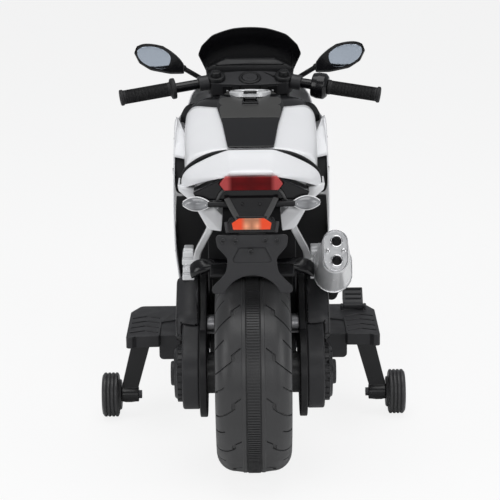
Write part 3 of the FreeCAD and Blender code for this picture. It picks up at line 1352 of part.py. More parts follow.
def make_stabilisers():
    """Slanted arms under the footrests, each with a small grooved wheel on a bolt."""
    arm = new_body("StabiliserArm")
    y = from_rear(dim("stabiliser_reach"))
    under = dim("footrest_height") - dim("footrest_thickness")
    axis = dim("stabiliser_radius")
    inside = dim("stabiliser_outer") - dim("stabiliser_width") - FIT
    wide = dim("arm_width")
    lean = inside - wide + 4
    top_in = STABILISER_TOP - wide / 2
    pad(arm, "XZ_Plane", rounded([(top_in, under), (top_in + wide, under), (inside, axis + 16, 6),
                                  (inside, axis - 14, 4), (lean, axis - 14, 8), (lean, axis + 16, 6)]),
        "Dims.arm_thickness", offset=-y, both=True)
    pad(arm, "XY_Plane", rounded([(top_in, y - 24, 6), (top_in + wide, y - 24, 6), (top_in + wide, y + 24, 6),
                                  (top_in, y + 24, 6)]), "Dims.arm_thickness", under, back=True)
    pad(arm, "YZ_Plane", circle(y, axis, 14), "Dims.arm_width - 4", inside, back=True)
    pocket(arm, "YZ_Plane", circle(y, axis, dim("stabiliser_bolt") / 2), "2 * Dims.arm_width",
           offset=inside + 1)
    both_sides(arm, "stabiliser_arms")

    bolt = new_body("StabiliserBolt")
    outer = dim("stabiliser_outer")
    pad(bolt, "YZ_Plane", circle(y, axis, dim("stabiliser_bolt") / 2), str(outer - 4 - lean), lean)
    pad(bolt, "YZ_Plane", rounded(hexagon(8, y, axis)), "6", lean, back=True)
    pad(bolt, "YZ_Plane", rounded(hexagon(8, y, axis)), "6", outer - 7)
    fasten(bolt)

    wheel = new_body("StabiliserWheel")
    radius = axis
    near = inside + FIT
    bore = dim("stabiliser_bolt") / 2 + RUN
    profile = [(near, bore), (near, radius - 14), (near + 5, radius - 12), (near + 5, radius - 4, 2)]
    start = near + 7
    pitch = (outer - 8 - start) / 3
    for groove in range(3):
        edge = start + pitch * (groove + 1)
        profile += [(edge - pitch, radius), (edge - 3, radius), (edge - 2.2, radius - 2),
                    (edge - 0.8, radius - 2)]
    profile += [(start + 3 * pitch, radius), (outer - 4, radius, 2), (outer, radius - 5),
                (outer, radius - 16), (outer - 8, radius - 20), (outer - 8, bore)]
    revolve(wheel, rounded(profile))
    pair(at(wheel, Vector(0, y, axis)), "stabiliser_wheel")


HANGER_LOW = (-83, 446)
FENDER_LEAN = 11
EXHAUST_AT = (142, -20, 396)
EXHAUST_ROUTE = ((152, 128, 304), (144, 176, 264), (116, 290, 212), (76, 352, 198))
PEDAL_X = 193
STABILISER_TOP = 207


make_rear_wheel()
make_drive_gear()
make_idler()
make_motor()
make_gearbox()
make_swingarm()
make_fork()
make_clamp()
make_grips()
make_front_wheel()
make_chassis()
make_power()
tail_cowl, tail_panel = make_seat_and_tail()
make_fairings(make_tank())
make_mirrors(make_nose())
make_tail_end(tail_cowl, tail_panel)
make_exhaust()
make_footrests()
make_stabilisers()
node(group("Fasteners", FASTENERS), "fasteners")

doc.recompute()
for piece in NODES:
    shape = piece.Shape
    if "Invalid" in piece.State or "Error" in piece.State or shape.isNull() or not shape.isValid():
        raise RuntimeError(f"{piece.Label} did not build")
    shape.exportStep(f"parts/{piece.Label}.step")
print(f"{len(NODES)} pieces written")
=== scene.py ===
"""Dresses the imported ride-on motorbike: studio, finishes and the finely shaped pieces."""
import json
import math

import bmesh
import bpy
from mathutils import Matrix, Vector


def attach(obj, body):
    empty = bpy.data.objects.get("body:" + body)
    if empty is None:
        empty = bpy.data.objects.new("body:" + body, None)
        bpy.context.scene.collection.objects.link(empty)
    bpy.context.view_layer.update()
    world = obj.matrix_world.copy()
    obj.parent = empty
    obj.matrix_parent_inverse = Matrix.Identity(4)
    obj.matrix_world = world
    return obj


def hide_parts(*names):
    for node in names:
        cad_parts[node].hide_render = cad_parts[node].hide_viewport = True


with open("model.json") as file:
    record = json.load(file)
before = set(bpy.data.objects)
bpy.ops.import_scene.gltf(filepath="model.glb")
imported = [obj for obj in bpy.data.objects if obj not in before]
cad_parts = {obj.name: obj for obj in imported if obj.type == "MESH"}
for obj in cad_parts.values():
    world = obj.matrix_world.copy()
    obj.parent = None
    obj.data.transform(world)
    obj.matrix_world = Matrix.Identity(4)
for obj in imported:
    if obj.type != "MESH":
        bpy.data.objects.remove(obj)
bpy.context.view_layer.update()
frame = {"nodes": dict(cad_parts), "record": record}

MM = 0.001
REAR_AXLE = Vector((0, -0.380, 0.175))
FRONT_AXLE = Vector((0, 0.390, 0.165))
BODY_OF = {node: body for body, nodes in frame["record"]["behaviour"]["bodies"].items() for node in nodes}
SLOT_OF = {part["node"]: part["material_slot"] for part in frame["record"]["subparts"]}
WELD = 0.00001

PICTURE_WIDTH = 500
SENSOR_WIDTH = 36
FOCAL_PIXELS = 1859
LOOK_DOWN = math.radians(15)
CAMERA_AWAY = 3.5
FLOOR_GLOW = 0.85


def spot(x, y, z):
    """A point in millimetres, its y counted forward from the rear axle."""
    return Vector((x * MM, REAR_AXLE.y + y * MM, z * MM))


def placed(x, y, z):
    """A shift to such a point."""
    return Matrix.Translation(spot(x, y, z))


def rotated(degrees, axis):
    return Matrix.Rotation(math.radians(degrees), 4, axis)


def moved(x, y, z):
    """A shift in millimetres."""
    return Matrix.Translation((x * MM, y * MM, z * MM))


# Turns for a seat whose X axis looks backward or upward.
BACKWARD = rotated(-90, "Z")
UPWARD = rotated(-90, "Y")
STEERING = Matrix.Translation(FRONT_AXLE) @ rotated(21.3, "X")


def added(name, data):
    """A new object in the scene."""
    item = bpy.data.objects.new(name, data)
    bpy.context.scene.collection.objects.link(item)
    return item


def mesh_of(name, bm):
    mesh = bpy.data.meshes.new(name)
    bm.to_mesh(mesh)
    bm.free()
    return mesh


def place_camera():
    """Looks down on the tail from behind, slightly turned about its own line of sight."""
    data = bpy.data.cameras.new("view_from_behind")
    data.sensor_width = SENSOR_WIDTH
    data.lens = SENSOR_WIDTH * FOCAL_PIXELS / PICTURE_WIDTH
    data.shift_x = -0.004
    camera = added("view_from_behind", data)
    aim = Vector((0, -0.080, 0.3155))
    back = Vector((0, -math.cos(LOOK_DOWN), math.sin(LOOK_DOWN)))
    camera.location = aim + back * CAMERA_AWAY
    facing = back.to_track_quat("Z", "Y").to_matrix().to_4x4()
    camera.matrix_world = Matrix.Translation(camera.location) @ facing @ rotated(-0.7, "Z")
    bpy.context.scene.camera = camera


def soft_lamp(name, place, aim, size, watts):
    data = bpy.data.lights.new(name, "AREA")
    data.shape = "RECTANGLE"
    data.size, data.size_y = size
    data.energy = watts
    lamp = added(name, data)
    lamp.location = place
    lamp.rotation_euler = (Vector(place) - Vector(aim)).to_track_quat("Z", "Y").to_euler()


def set_inputs(tree, node, values):
    """Links a node's sockets to other sockets, or sets them to constants."""
    for socket, value in values.items():
        if isinstance(value, bpy.types.NodeSocket):
            tree.links.new(value, node.inputs[socket])
        else:
            node.inputs[socket].default_value = value


def new_node(tree, kind, values=None):
    node = tree.nodes.new(f"ShaderNode{kind}")
    set_inputs(tree, node, values or {})
    return node


def worked_out(tree, operation, *values):
    """The result of a calculation with sockets and numbers."""
    node = new_node(tree, "Math", dict(enumerate(values)))
    node.operation = operation
    return node.outputs[0]


def blend_shaders(tree, share, first, second, out):
    """Mixes two shaders by a share and sends them to an output node."""
    blend = new_node(tree, "MixShader", {"Fac": share, 1: first.outputs[0], 2: second.outputs[0]})
    set_inputs(tree, out, {"Surface": blend.outputs[0]})


def light_studio():
    """White surround and broad soft lamps above, on both sides and behind the camera."""
    scene = bpy.context.scene
    scene.view_settings.view_transform = "Standard"
    world = bpy.data.worlds.new("white_room")
    scene.world = world
    world.use_nodes = True
    tree = world.node_tree
    tree.nodes.clear()
    paths = new_node(tree, "LightPath")
    seen = worked_out(tree, "MAXIMUM", paths.outputs["Is Camera Ray"], paths.outputs["Is Transmission Ray"])
    room = new_node(tree, "Background", {"Color": (0.55, 0.56, 0.58, 1), "Strength": 0.5})
    paper = new_node(tree, "Background", {"Color": (1, 1, 1, 1)})
    blend_shaders(tree, seen, room, paper, new_node(tree, "OutputWorld"))

    aim = (0, -0.1, 0.35)
    soft_lamp("over_the_bike", (0, -0.4, 3.2), (0, -0.1, 0.3), (2.6, 2.6), 48)
    soft_lamp("from_the_left", (-2.8, -1.8, 1.6), aim, (1.4, 2.0), 24)
    soft_lamp("from_the_right", (2.8, -1.8, 1.6), aim, (1.4, 2.0), 24)
    soft_lamp("behind_the_camera", (0, -4.6, 1.9), aim, (2.4, 1.4), 24)


def lay_floor():
    """Pale floor that takes soft shadows."""
    bm = bmesh.new()
    bmesh.ops.create_grid(bm, x_segments=1, y_segments=1, size=9)
    mesh = mesh_of("pale_floor", bm)
    floor = added("pale_floor", mesh)
    paint = bpy.data.materials.new("paper_floor")
    paint.use_nodes = True
    tree = paint.node_tree
    tree.nodes.clear()
    matte = new_node(tree, "BsdfDiffuse", {"Color": (0.9, 0.9, 0.9, 1)})
    paths = new_node(tree, "LightPath")
    share = worked_out(tree, "MULTIPLY", paths.outputs["Is Camera Ray"], FLOOR_GLOW)
    blend_shaders(tree, share, matte, new_node(tree, "Emission"), new_node(tree, "OutputMaterial"))
    mesh.materials.append(paint)


def finish_nodes(name):
    """An empty finish: its node tree, the shader and the object coordinates."""
    finish = bpy.data.materials.new(name)
    finish.use_nodes = True
    tree = finish.node_tree
    return finish, tree, tree.nodes["Principled BSDF"], new_node(tree, "TexCoord").outputs["Object"]


def noise(tree, place, scale, detail=3.0):
    values = {"Vector": place, "Scale": scale, "Detail": detail, "Roughness": 0.55}
    return new_node(tree, "TexNoise", values).outputs["Fac"]


def between(tree, value, low, high, start=0.3, end=0.7):
    """Spreads a pattern's value between two numbers."""
    values = {"Value": value, "From Min": start, "From Max": end, "To Min": low, "To Max": high}
    return new_node(tree, "MapRange", values).outputs["Result"]


def two_tone(tree, value, *colours):
    """Mixes two colours, given as numbers or as a socket, by a value."""
    node = new_node(tree, "Mix")
    node.data_type = "RGBA"
    first, second = [(*colour, 1) if isinstance(colour, tuple) else colour for colour in colours]
    set_inputs(tree, node, {"Factor": value, "A": first, "B": second})
    return node.outputs["Result"]


def relief(tree, height, depth, strength=1.0):
    """The surface normal with a fine relief."""
    values = {"Height": height, "Distance": depth, "Strength": strength}
    return new_node(tree, "Bump", values).outputs["Normal"]


def moulded(name, colour, rough, spread=0.05, grain=700, depth=0.00008, coat=0.0, metal=0.0, tint=0.12,
            shine=0.5):
    """Moulded plastic: cloudy colour, handled patches in the gloss and a fine eroded grain."""
    finish, tree, shader, place = finish_nodes(name)
    clouds = between(tree, noise(tree, place, 9), 0, 1)
    darker = tuple(c * (1 - tint) for c in colour)
    lighter = tuple(min(1, c * (1 + tint / 2)) for c in colour)
    patches = noise(tree, place, 38, 4)
    set_inputs(tree, shader, {
        "Base Color": two_tone(tree, clouds, darker, lighter), "Metallic": metal,
        "Roughness": between(tree, patches, rough - spread, rough + spread), "Specular IOR Level": shine,
        "Coat Weight": coat, "Coat Roughness": 0.08,
        "Normal": relief(tree, noise(tree, place, grain, 2), depth)})
    return finish


def metal(name, colour, rough, along):
    """Plated or blackened steel with fine drawn lines and small stains."""
    finish, tree, shader, place = finish_nodes(name)
    stretch = new_node(tree, "Mapping", {"Vector": place, "Scale": along})
    lines = noise(tree, stretch.outputs["Vector"], 260, 2)
    stains = between(tree, noise(tree, place, 24, 5), 0, 1)
    set_inputs(tree, shader, {
        "Base Color": two_tone(tree, stains, tuple(c * 0.78 for c in colour), colour), "Metallic": 1,
        "Roughness": between(tree, lines, rough - 0.08, rough + 0.08),
        "Normal": relief(tree, lines, 0.00004)})
    return finish


def lens(name, colour, pitch, clear=0.25, ends=None, from_middle=0.036, coat=0.8):
    """Coloured acrylic lens with moulded prisms behind its smooth face, and paler ends where it has them."""
    finish, tree, shader, place = finish_nodes(name)
    rows = []
    for direction in ("X", "Z"):
        wave = new_node(tree, "TexWave", {"Vector": place, "Scale": 1 / pitch / 20})
        wave.wave_type = "BANDS"
        wave.bands_direction = direction
        wave.wave_profile = "TRI"
        rows.append(wave.outputs["Fac"])
    facets = worked_out(tree, "MULTIPLY", *rows)
    body = two_tone(tree, facets, tuple(c * 0.45 for c in colour), colour)
    if ends:
        across = worked_out(tree, "ABSOLUTE", new_node(tree, "SeparateXYZ", {0: place}).outputs["X"])
        edge = between(tree, across, 0, 1, from_middle - 0.004, from_middle + 0.004)
        body = two_tone(tree, edge, body, ends)
    set_inputs(tree, shader, {
        "Base Color": body, "Roughness": 0.12, "Coat Weight": coat, "Specular IOR Level": 0.5 * coat,
        "Coat Roughness": 0.04, "Transmission Weight": clear, "Normal": relief(tree, facets, 0.0006, 0.5)})
    return finish


place_camera()
light_studio()
lay_floor()

FINISHES = {
    "white_gloss": moulded("white_body_plastic", (0.84, 0.845, 0.86), 0.22, 0.04, 420, 0.00003, coat=0.4,
                           tint=0.02),
    "black_plastic": moulded("black_moulded_plastic", (0.009, 0.009, 0.010), 0.42, 0.07, shine=0.3),
    "black_gloss": moulded("black_gloss_plastic", (0.005, 0.005, 0.006), 0.20, 0.05, 500, 0.00003, coat=0.15,
                           shine=0.35),
    "dark_grey_plastic": moulded("charcoal_moulded_plastic", (0.026, 0.026, 0.028), 0.45, 0.07, shine=0.35),
    "tyre_plastic": moulded("tyre_plastic", (0.046, 0.046, 0.047), 0.36, 0.08, 520, 0.00012, shine=0.4),
    "band_rubber": moulded("band_rubber", (0.030, 0.030, 0.031), 0.42, 0.06, 620, 0.0001, shine=0.45),
    "grip_rubber": moulded("soft_rubber", (0.017, 0.017, 0.018), 0.55, 0.08, 620, 0.00014, shine=0.3),
    "zinc_steel": metal("blackened_steel", (0.10, 0.10, 0.105), 0.30, (1, 14, 14)),
    "silver_plastic": moulded("silver_sprayed_plastic", (0.84, 0.845, 0.855), 0.26, 0.02, 900, 0.00002,
                              coat=0.3, metal=0.35, tint=0.03),
    "red_lens": lens("red_tail_lens", (0.20, 0.002, 0.004), 0.006, 0.0, (0.46, 0.07, 0.07), 0.036, 0.15),
    "orange_lens": lens("orange_reflector", (0.98, 0.42, 0.24), 0.003, 0.0, (0.86, 0.085, 0.030), 0.014, 0.3),
    "clear_lens": lens("clear_signal_lens", (0.46, 0.47, 0.49), 0.005, 0.1),
    # Mirror: partly its own silver, partly a painted reflection; the bluish grey tint stands for the sky the
    # mirror reflects.
    "mirror_glass": moulded("mirror_silver_painted_sky_tint", (0.50, 0.56, 0.64), 0.06, 0.02, 300, 0.00001, metal=1.0,
                            tint=0.05),
    "gear_nylon": moulded("gear_nylon", (0.74, 0.73, 0.69), 0.45, 0.06, 500, 0.00005, tint=0.05),
    "motor_steel": metal("motor_can_steel", (0.42, 0.42, 0.43), 0.38, (14, 1, 1)),
    "painted_steel": moulded("painted_steel", (0.010, 0.010, 0.011), 0.34, 0.05, 260, 0.00006, coat=0.1,
                             shine=0.35),
    "battery_case": moulded("battery_case_plastic", (0.06, 0.06, 0.065), 0.48, 0.06),
}
# Satin grey for the plate on the tank's top: partly its own finish, partly painted light, lighter to stand
# for the light the flat top catches from above.
SATIN_PAINTED_TOP_LIGHT = moulded("satin_grey_plastic_painted_top_light", (0.045, 0.045, 0.043), 0.36, 0.05, 800, 0.00004, shine=0.5)
WORN_GREY = moulded("worn_grey_plastic", (0.060, 0.060, 0.060), 0.38, 0.08, shine=0.45)
ZINC = metal("zinc_plated_steel", (0.60, 0.60, 0.61), 0.34, (1, 14, 14))
BRIGHT = moulded("bright_trim_plastic", (0.90, 0.90, 0.91), 0.20, 0.02, 900, 0.00002, coat=0.4, tint=0.02)
POLISHED = metal("polished_outlets", (0.82, 0.82, 0.83), 0.16, (1, 1, 14))

for label, slot in SLOT_OF.items():
    mesh = frame["nodes"][label].data
    mesh.materials.clear()
    mesh.materials.append(FINISHES[slot])


def to_piece(name, bm, slot, *stands_for, body="chassis", finish=None, sharp=38, edge=0.0, smooth=0,
             wall=0.0):
    """Turns a mesh into a piece that moves with its body and takes its finish from a slot."""
    bmesh.ops.remove_doubles(bm, verts=bm.verts[:], dist=WELD)
    bmesh.ops.recalc_face_normals(bm, faces=bm.faces[:])
    mesh = mesh_of(name, bm)
    mesh.shade_smooth()
    if sharp:
        mesh.set_sharp_from_angle(angle=math.radians(sharp))
    piece = added(name, mesh)
    mesh.materials.append(finish or FINISHES[slot])
    if edge:
        bevel = piece.modifiers.new("eased_edges", "BEVEL")
        bevel.width = edge * MM
        bevel.segments = 3
        bevel.limit_method = "ANGLE"
        bevel.angle_limit = math.radians(30)
        bevel.use_clamp_overlap = False
        bevel.harden_normals = True
    if smooth:
        rounding = piece.modifiers.new("rounding", "SUBSURF")
        rounding.levels = rounding.render_levels = smooth
    if wall:
        thickness = piece.modifiers.new("wall", "SOLIDIFY")
        thickness.thickness = wall * MM
        thickness.offset = -1
    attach(piece, body)
    if stands_for:
        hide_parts(*stands_for)


def eased(label, edge, finish=None):
    """A carried-over solid with its sharp edges eased, as moulded and pressed pieces have them."""
    bm = bmesh.new()
    bm.from_mesh(frame["nodes"][label].data)
    bmesh.ops.remove_doubles(bm, verts=bm.verts[:], dist=2 * WELD)
    bmesh.ops.dissolve_limit(bm, angle_limit=math.radians(0.6), verts=bm.verts[:], edges=bm.edges[:])
    to_piece(f"{label}_eased", bm, SLOT_OF[label], label, body=BODY_OF[label], finish=finish, edge=edge)


def sides_of(bm):
    """A piece made for the right side, and its mirror image for the left."""
    left = bm.copy()
    bmesh.ops.scale(left, vec=(-1, 1, 1), verts=left.verts[:])
    return ("right", bm), ("left", left)


def to_pair(name, bm, slot, *stands_for, **looks):
    """Makes a right and a left piece; the right one stands for the node of both."""
    for side, half in sides_of(bm):
        to_piece(f"{name}_{side}", half, slot, *(stands_for if side == "right" else ()), **looks)


def box(bm, seat, *size):
    """A block of a size in millimetres, centred on its seat."""
    size = Matrix.Diagonal((*(length * MM for length in size), 1))
    return bmesh.ops.create_cube(bm, size=1, matrix=seat @ size)["verts"]


def ease_block(bm, verts, offset, segments):
    edges = list({edge for vert in verts for edge in vert.link_edges})
    bmesh.ops.bevel(bm, geom=edges, offset=offset * MM, segments=segments, profile=0.5, affect="EDGES",
                    material=-1)


def outlined(bm, points):
    return bm.faces.new([bm.verts.new(point) for point in points])


def drawn_out(bm, faces, depth):
    """Extrudes faces by millimetres along Y; gives the new faces and their corners."""
    grown = bmesh.ops.extrude_face_region(bm, geom=faces)["geom"]
    corners = [item for item in grown if isinstance(item, bmesh.types.BMVert)]
    bmesh.ops.translate(bm, vec=(0, depth * MM, 0), verts=corners)
    return [item for item in grown if isinstance(item, bmesh.types.BMFace)], corners


def spun(bm, points, steps, centre=Vector()):
    """Spins an outline of (across, radius) in millimetres about an axle, or about the X axis."""
    verts = [bm.verts.new(centre + Vector((x * MM, 0, r * MM))) for x, r in points]
    edges = [bm.edges.new(pair) for pair in zip(verts, verts[1:])]
    bmesh.ops.spin(bm, geom=verts + edges, cent=centre, axis=(1, 0, 0), angle=2 * math.pi, steps=steps,
                   use_merge=True)


PITCHES = 13
PITCH_COLUMNS = 24
SPOKES = 5
WINDOW_START, WINDOW_END = 0.22, 0.78
CHANNEL = 12.5
TREAD_START = 19.4
TREAD_TWIST = 0.78
GROOVE_START = 20
GROOVE_WIDTH_LOST, GROOVE_DEPTH = 0.6, 2.4
WEB = 8
SPOKE_START = 50
AXLE_BORE = 6.1
BAND_RIBS = 216


def turn_of(point, centre):
    """Angle of a point round an axle, from straight up towards the back."""
    return math.atan2(centre.y - point.y, point.z - centre.z) % (2 * math.pi)


def make_tyre(name, body, centre, radius, width, shoulder, hub_end, node):
    """Wheel moulded with its tyre: spoked web, rounded shoulders and lightning-shaped grooves."""
    bm = bmesh.new()
    half = width / 2
    crown = radius - 1.6
    low = crown - shoulder - 17
    columns = PITCHES * PITCH_COLUMNS
    spoke_end = radius - 34
    side = [(CHANNEL, radius - 4), (CHANNEL, crown), (13.4, crown + 0.8), (18.5, crown + 0.6),
            (TREAD_START, crown - 0.4)]
    strips = 7
    for strip in range(1, strips + 1):
        share = strip / strips
        side.append((TREAD_START + (half - shoulder - TREAD_START) * share, crown - 0.4 - 1.6 * share))
    for bend in range(1, 9):
        angle = math.radians(bend * 10.5)
        side.append((half - shoulder + shoulder * math.sin(angle),
                     crown - 2 - shoulder * (1 - math.cos(angle))))
    side += [(half, low + 12), (half, low), (half - 14, low), (half - 14, crown - 22),
             (half - 28, crown - 15), (9, crown - 15), (WEB, crown - 22), (WEB, spoke_end),
             (WEB, SPOKE_START), (WEB, 40), (10, 36), (hub_end - 1, 36), (hub_end, 35), (hub_end, AXLE_BORE)]
    for hand in (1, -1):
        spun(bm, [(hand * x, r) for x, r in side], columns, centre)
    spun(bm, [(-CHANNEL, radius - 4), (CHANNEL, radius - 4)], columns, centre)
    spun(bm, [(-hub_end, AXLE_BORE), (hub_end, AXLE_BORE)], columns, centre)
    bmesh.ops.remove_doubles(bm, verts=bm.verts[:], dist=WELD)

    step = 2 * math.pi / columns
    reach = half - GROOVE_START
    grooves, windows = [], {}
    for face in bm.faces:
        middle = face.calc_center_median()
        across = abs(middle.x) / MM
        out = math.hypot(middle.y - centre.y, middle.z - centre.z) / MM
        column = int(turn_of(middle, centre) / step) % PITCH_COLUMNS
        share = (across - GROOVE_START) / reach
        if out > crown - shoulder * 0.86 and across > GROOVE_START + 0.5:
            kink = 0.30 < share < 0.40 and 0 < column < 3
            near_band = share < 0.44 and column == 0
            long_run = share > 0.28 and column == 3
            outer_nick = share > 0.66 and column == 13
            if near_band or long_run or outer_nick or kink:
                grooves.append(face)
        if abs(across - WEB) < 0.1 and SPOKE_START < out < spoke_end:
            sector = turn_of(middle, centre) * SPOKES / (2 * math.pi)
            if WINDOW_START < sector % 1 < WINDOW_END:
                windows.setdefault(int(sector), []).append(face)
    for faces in windows.values():
        inside = set(faces)
        edges = [e for face in faces for e in face.edges if sum(f in inside for f in e.link_faces) == 1]
        bmesh.ops.delete(bm, geom=faces, context="FACES_ONLY")
        bmesh.ops.bridge_loops(bm, edges=edges)
    for vert in bm.verts:
        across = abs(vert.co.x) / MM
        if across > CHANNEL + 0.1:
            twist = TREAD_TWIST * (min(across, half) - CHANNEL) / radius
            vert.co = centre + Matrix.Rotation(twist, 3, "X") @ (vert.co - centre)
    grooves = [face for face in grooves if face.is_valid]
    bmesh.ops.recalc_face_normals(bm, faces=bm.faces[:])
    bmesh.ops.inset_region(bm, faces=grooves, thickness=GROOVE_WIDTH_LOST * MM, depth=-GROOVE_DEPTH * MM,
                           use_even_offset=True)
    to_piece(name, bm, "tyre_plastic", node, body=body, sharp=32)


def make_band(name, body, centre, radius, node):
    """Soft band in the tyre's channel, with fine cross ribs all the way round."""
    bm = bmesh.new()
    low, groove, ridge = radius - 4, radius - 1.4, radius - 0.8
    edge = CHANNEL - 0.1
    half = [(10.8, groove), (11.6, ridge), (edge, radius - 1.5), (edge, low)]
    spun(bm, [(-x, r) for x, r in reversed(half)] + half + [(-edge, low)], BAND_RIBS, centre)
    rib = box(bm, Matrix.Translation(centre + Vector((0, 0, (radius - 0.75) * MM))), 21, 2.5, 1.3)
    shape = rib + list({e for v in rib for e in v.link_edges}) + list({f for v in rib for f in v.link_faces})
    others = BAND_RIBS - 1
    bmesh.ops.spin(bm, geom=shape, cent=centre, axis=(1, 0, 0), angle=2 * math.pi * others / BAND_RIBS,
                   steps=others, use_duplicate=True)
    to_piece(name, bm, "band_rubber", node, body=body, sharp=30)


def swept(bm, outline, path, faces):
    """Carries a closed outline of (u, v) millimetres along points; u lies towards faces."""
    rings = []
    for before, point, after in zip(path[:1] + path, path, path[1:] + path[-1:]):
        along = (after - before).normalized()
        across = (faces - along * faces.dot(along)).normalized()
        up = along.cross(across)
        ring = [bm.verts.new(point + across * (u * MM) + up * (v * MM)) for u, v in outline]
        rings.append([bm.edges.new((a, b)) for a, b in zip(ring, ring[1:] + ring[:1])])
    for near, far in zip(rings, rings[1:]):
        bmesh.ops.bridge_loops(bm, edges=near + far)
    for end in (rings[0], rings[-1]):
        bmesh.ops.contextual_create(bm, geom=end)


def turned(bm, points, steps, seat):
    """Spins an outline of (along, radius) about the seat's own X axis and moves it there."""
    before = set(bm.verts)
    spun(bm, points, steps)
    bmesh.ops.transform(bm, matrix=seat, verts=[vert for vert in bm.verts if vert not in before])


def screw_head(bm, seat, radius, skirt=0.5):
    """Pan head with a cross slot, on the seat's X axis."""
    before = set(bm.verts)
    outline = [(-skirt, radius), (0.6, radius), (1.5, radius * 0.8), (2.0, radius * 0.45), (2.1, 0.01)]
    spun(bm, outline, 20)
    for wide, high in ((radius * 1.1, 0.9), (0.9, radius * 1.1)):
        box(bm, moved(1.75, 0, 0), 1.2, wide, high)
    bmesh.ops.transform(bm, matrix=seat, verts=[vert for vert in bm.verts if vert not in before])


BAR_START = Vector((60, 0, 452.4))
BAR_RUN = Vector((198, -47, -10))
BAR_LENGTH = BAR_RUN.length


def bar_seat(hand):
    """A seat at the handlebar's inner end, its X axis running outwards along the tube."""
    turn = Vector((1, 0, 0)).rotation_difference(BAR_RUN.normalized()).to_matrix().to_4x4()
    return Matrix.Diagonal((hand, 1, 1, 1)) @ STEERING @ Matrix.Translation(BAR_START * MM) @ turn


def make_grip(name, body, node, hand, start, end, bore, flange):
    """Rubber grip with rows of slanted lozenges sunk into its sleeve."""
    bm = bmesh.new()
    skin = 14
    inner = 10 + bore
    outline = [(start, inner)]
    if flange:
        outline += [(start, skin + 6), (start + 1.5, skin + 7), (start + 7, skin + 7),
                    (start + 9, skin + 5.5), (start + 10.5, skin + 1), (start + 13, skin)]
    else:
        outline += [(start, skin), (start + 1, skin + 1), (start + 5, skin + 1), (start + 6, skin)]
    rows = 13
    first, last = outline[-1][0] + 3, end - 10
    outline += [(first + (last - first) * row / rows, skin) for row in range(rows + 1)]
    outline += [(end - 7, skin), (end - 6, skin + 1.4), (end - 5, skin + 2), (end - 1.5, skin + 2),
                (end, skin + 1), (end, 6), (end - 1.2, 5), (end - 1.2, 0.01)]
    columns = 22
    spun(bm, outline, columns * 2)
    bmesh.ops.remove_doubles(bm, verts=bm.verts[:], dist=WELD)
    step = (last - first) / rows
    for vert in bm.verts:
        along = vert.co.x / MM
        row = round((along - first) / step)
        if 0 <= row <= rows and abs(along - first - row * step) < 0.01:
            zigzag = min(row % 6, 6 - row % 6) * math.pi / columns
            vert.co = Matrix.Rotation(zigzag, 3, "X") @ vert.co
    bmesh.ops.recalc_face_normals(bm, faces=bm.faces[:])
    lozenges = [face for face in bm.faces if first < face.calc_center_median().x / MM < last]
    bmesh.ops.inset_individual(bm, faces=lozenges, thickness=0.45 * MM, depth=-0.8 * MM)
    bmesh.ops.transform(bm, matrix=bar_seat(hand), verts=bm.verts[:])
    to_piece(name, bm, "grip_rubber", node, body=body, sharp=30)


def make_fork_caps():
    """Round dials on the fork tops, with a raised ring and a bar across."""
    bm = bmesh.new()
    seat = STEERING @ moved(68, 0, 458) @ UPWARD
    turned(bm, [(-2, 19), (4, 19), (6.5, 17.5), (7, 16), (6, 15), (6, 11), (9.5, 10.5), (14.5, 9), (15.2, 7),
                (15.2, 0.01)], 48, seat)
    ease_block(bm, box(bm, seat @ moved(15.6, 0, 0), 2, 4, 14), 0.7, 2)
    to_pair("fork_cap", bm, "black_plastic", body="steering", sharp=34)


def make_signals():
    """Pointed clear lenses on their stalks, each with a bright rim and a rib along its middle."""
    seat = placed(67, -68, 494) @ rotated(8, "Z")
    length, radius, stops = 50, 11.4, 16
    shares = [stop / stops for stop in range(1, stops)]
    outline = [(length * share, radius * math.sin(math.pi * share) ** 0.72) for share in shares]
    outline = [(0.3, 0.01), *outline, (length - 0.3, 0.01)]
    bm = bmesh.new()
    turned(bm, outline, 40, seat)
    to_pair("signal", bm, "clear_lens", "turn_signals", sharp=0)
    bm = bmesh.new()
    proud, wire = 1.03 * MM, 1.1 * MM
    upper = [Vector((x * MM, -MM, r * proud)) for x, r in outline[1:-1]]
    lower = [Vector((x * MM, -MM, -r * proud)) for x, r in reversed(outline[1:-1])]
    for near, far in zip(upper + lower, upper[1:] + lower + upper[:1]):
        turn = Vector((0, 0, 1)).rotation_difference(far - near).to_matrix().to_4x4()
        bmesh.ops.create_cone(bm, cap_ends=True, segments=8, radius1=wire, radius2=wire,
                              depth=(far - near).length + 0.6 * MM,
                              matrix=seat @ Matrix.Translation((near + far) / 2) @ turn)
    middle = length / 2
    rib = box(bm, moved(middle, -11, 0), 34, 2, 1.6)
    for vert in rib:
        vert.co.y += abs(vert.co.x - middle * MM) * 0.28
    bmesh.ops.transform(bm, matrix=seat, verts=rib)
    to_pair("signal_rim", bm, "silver_plastic", sharp=40, finish=BRIGHT)


STAY_PATH = ((58, 0, 486), (66, 20, 452), (73, 38, 424), (84, 62, 398), (93, 82, 377), (97, 92, 362),
             (99, 98, 342))


def make_struts():
    """Bent silver stays from the tail down to the swingarms."""
    outline = [(-6, -5), (-4.5, -7), (4.5, -7), (6, -5), (6, 5), (4.5, 7), (-4.5, 7), (-6, 5)]
    bm = bmesh.new()
    swept(bm, outline, [spot(*place) for place in STAY_PATH], Vector((0.9, 0.0, 0.44)))
    to_pair("stay", bm, "silver_plastic", sharp=50, edge=0.8)
    bm = bmesh.new()
    for level, wide in ((316, 22), (330, 20), (344, 22), (358, 19)):
        box(bm, placed(113, 106, level + 6), wide, 30, 11)
    box(bm, placed(112, 108, 345), 17, 26, 60)
    to_pair("damper", bm, "silver_plastic", "subframe_struts", sharp=40, edge=2.2)


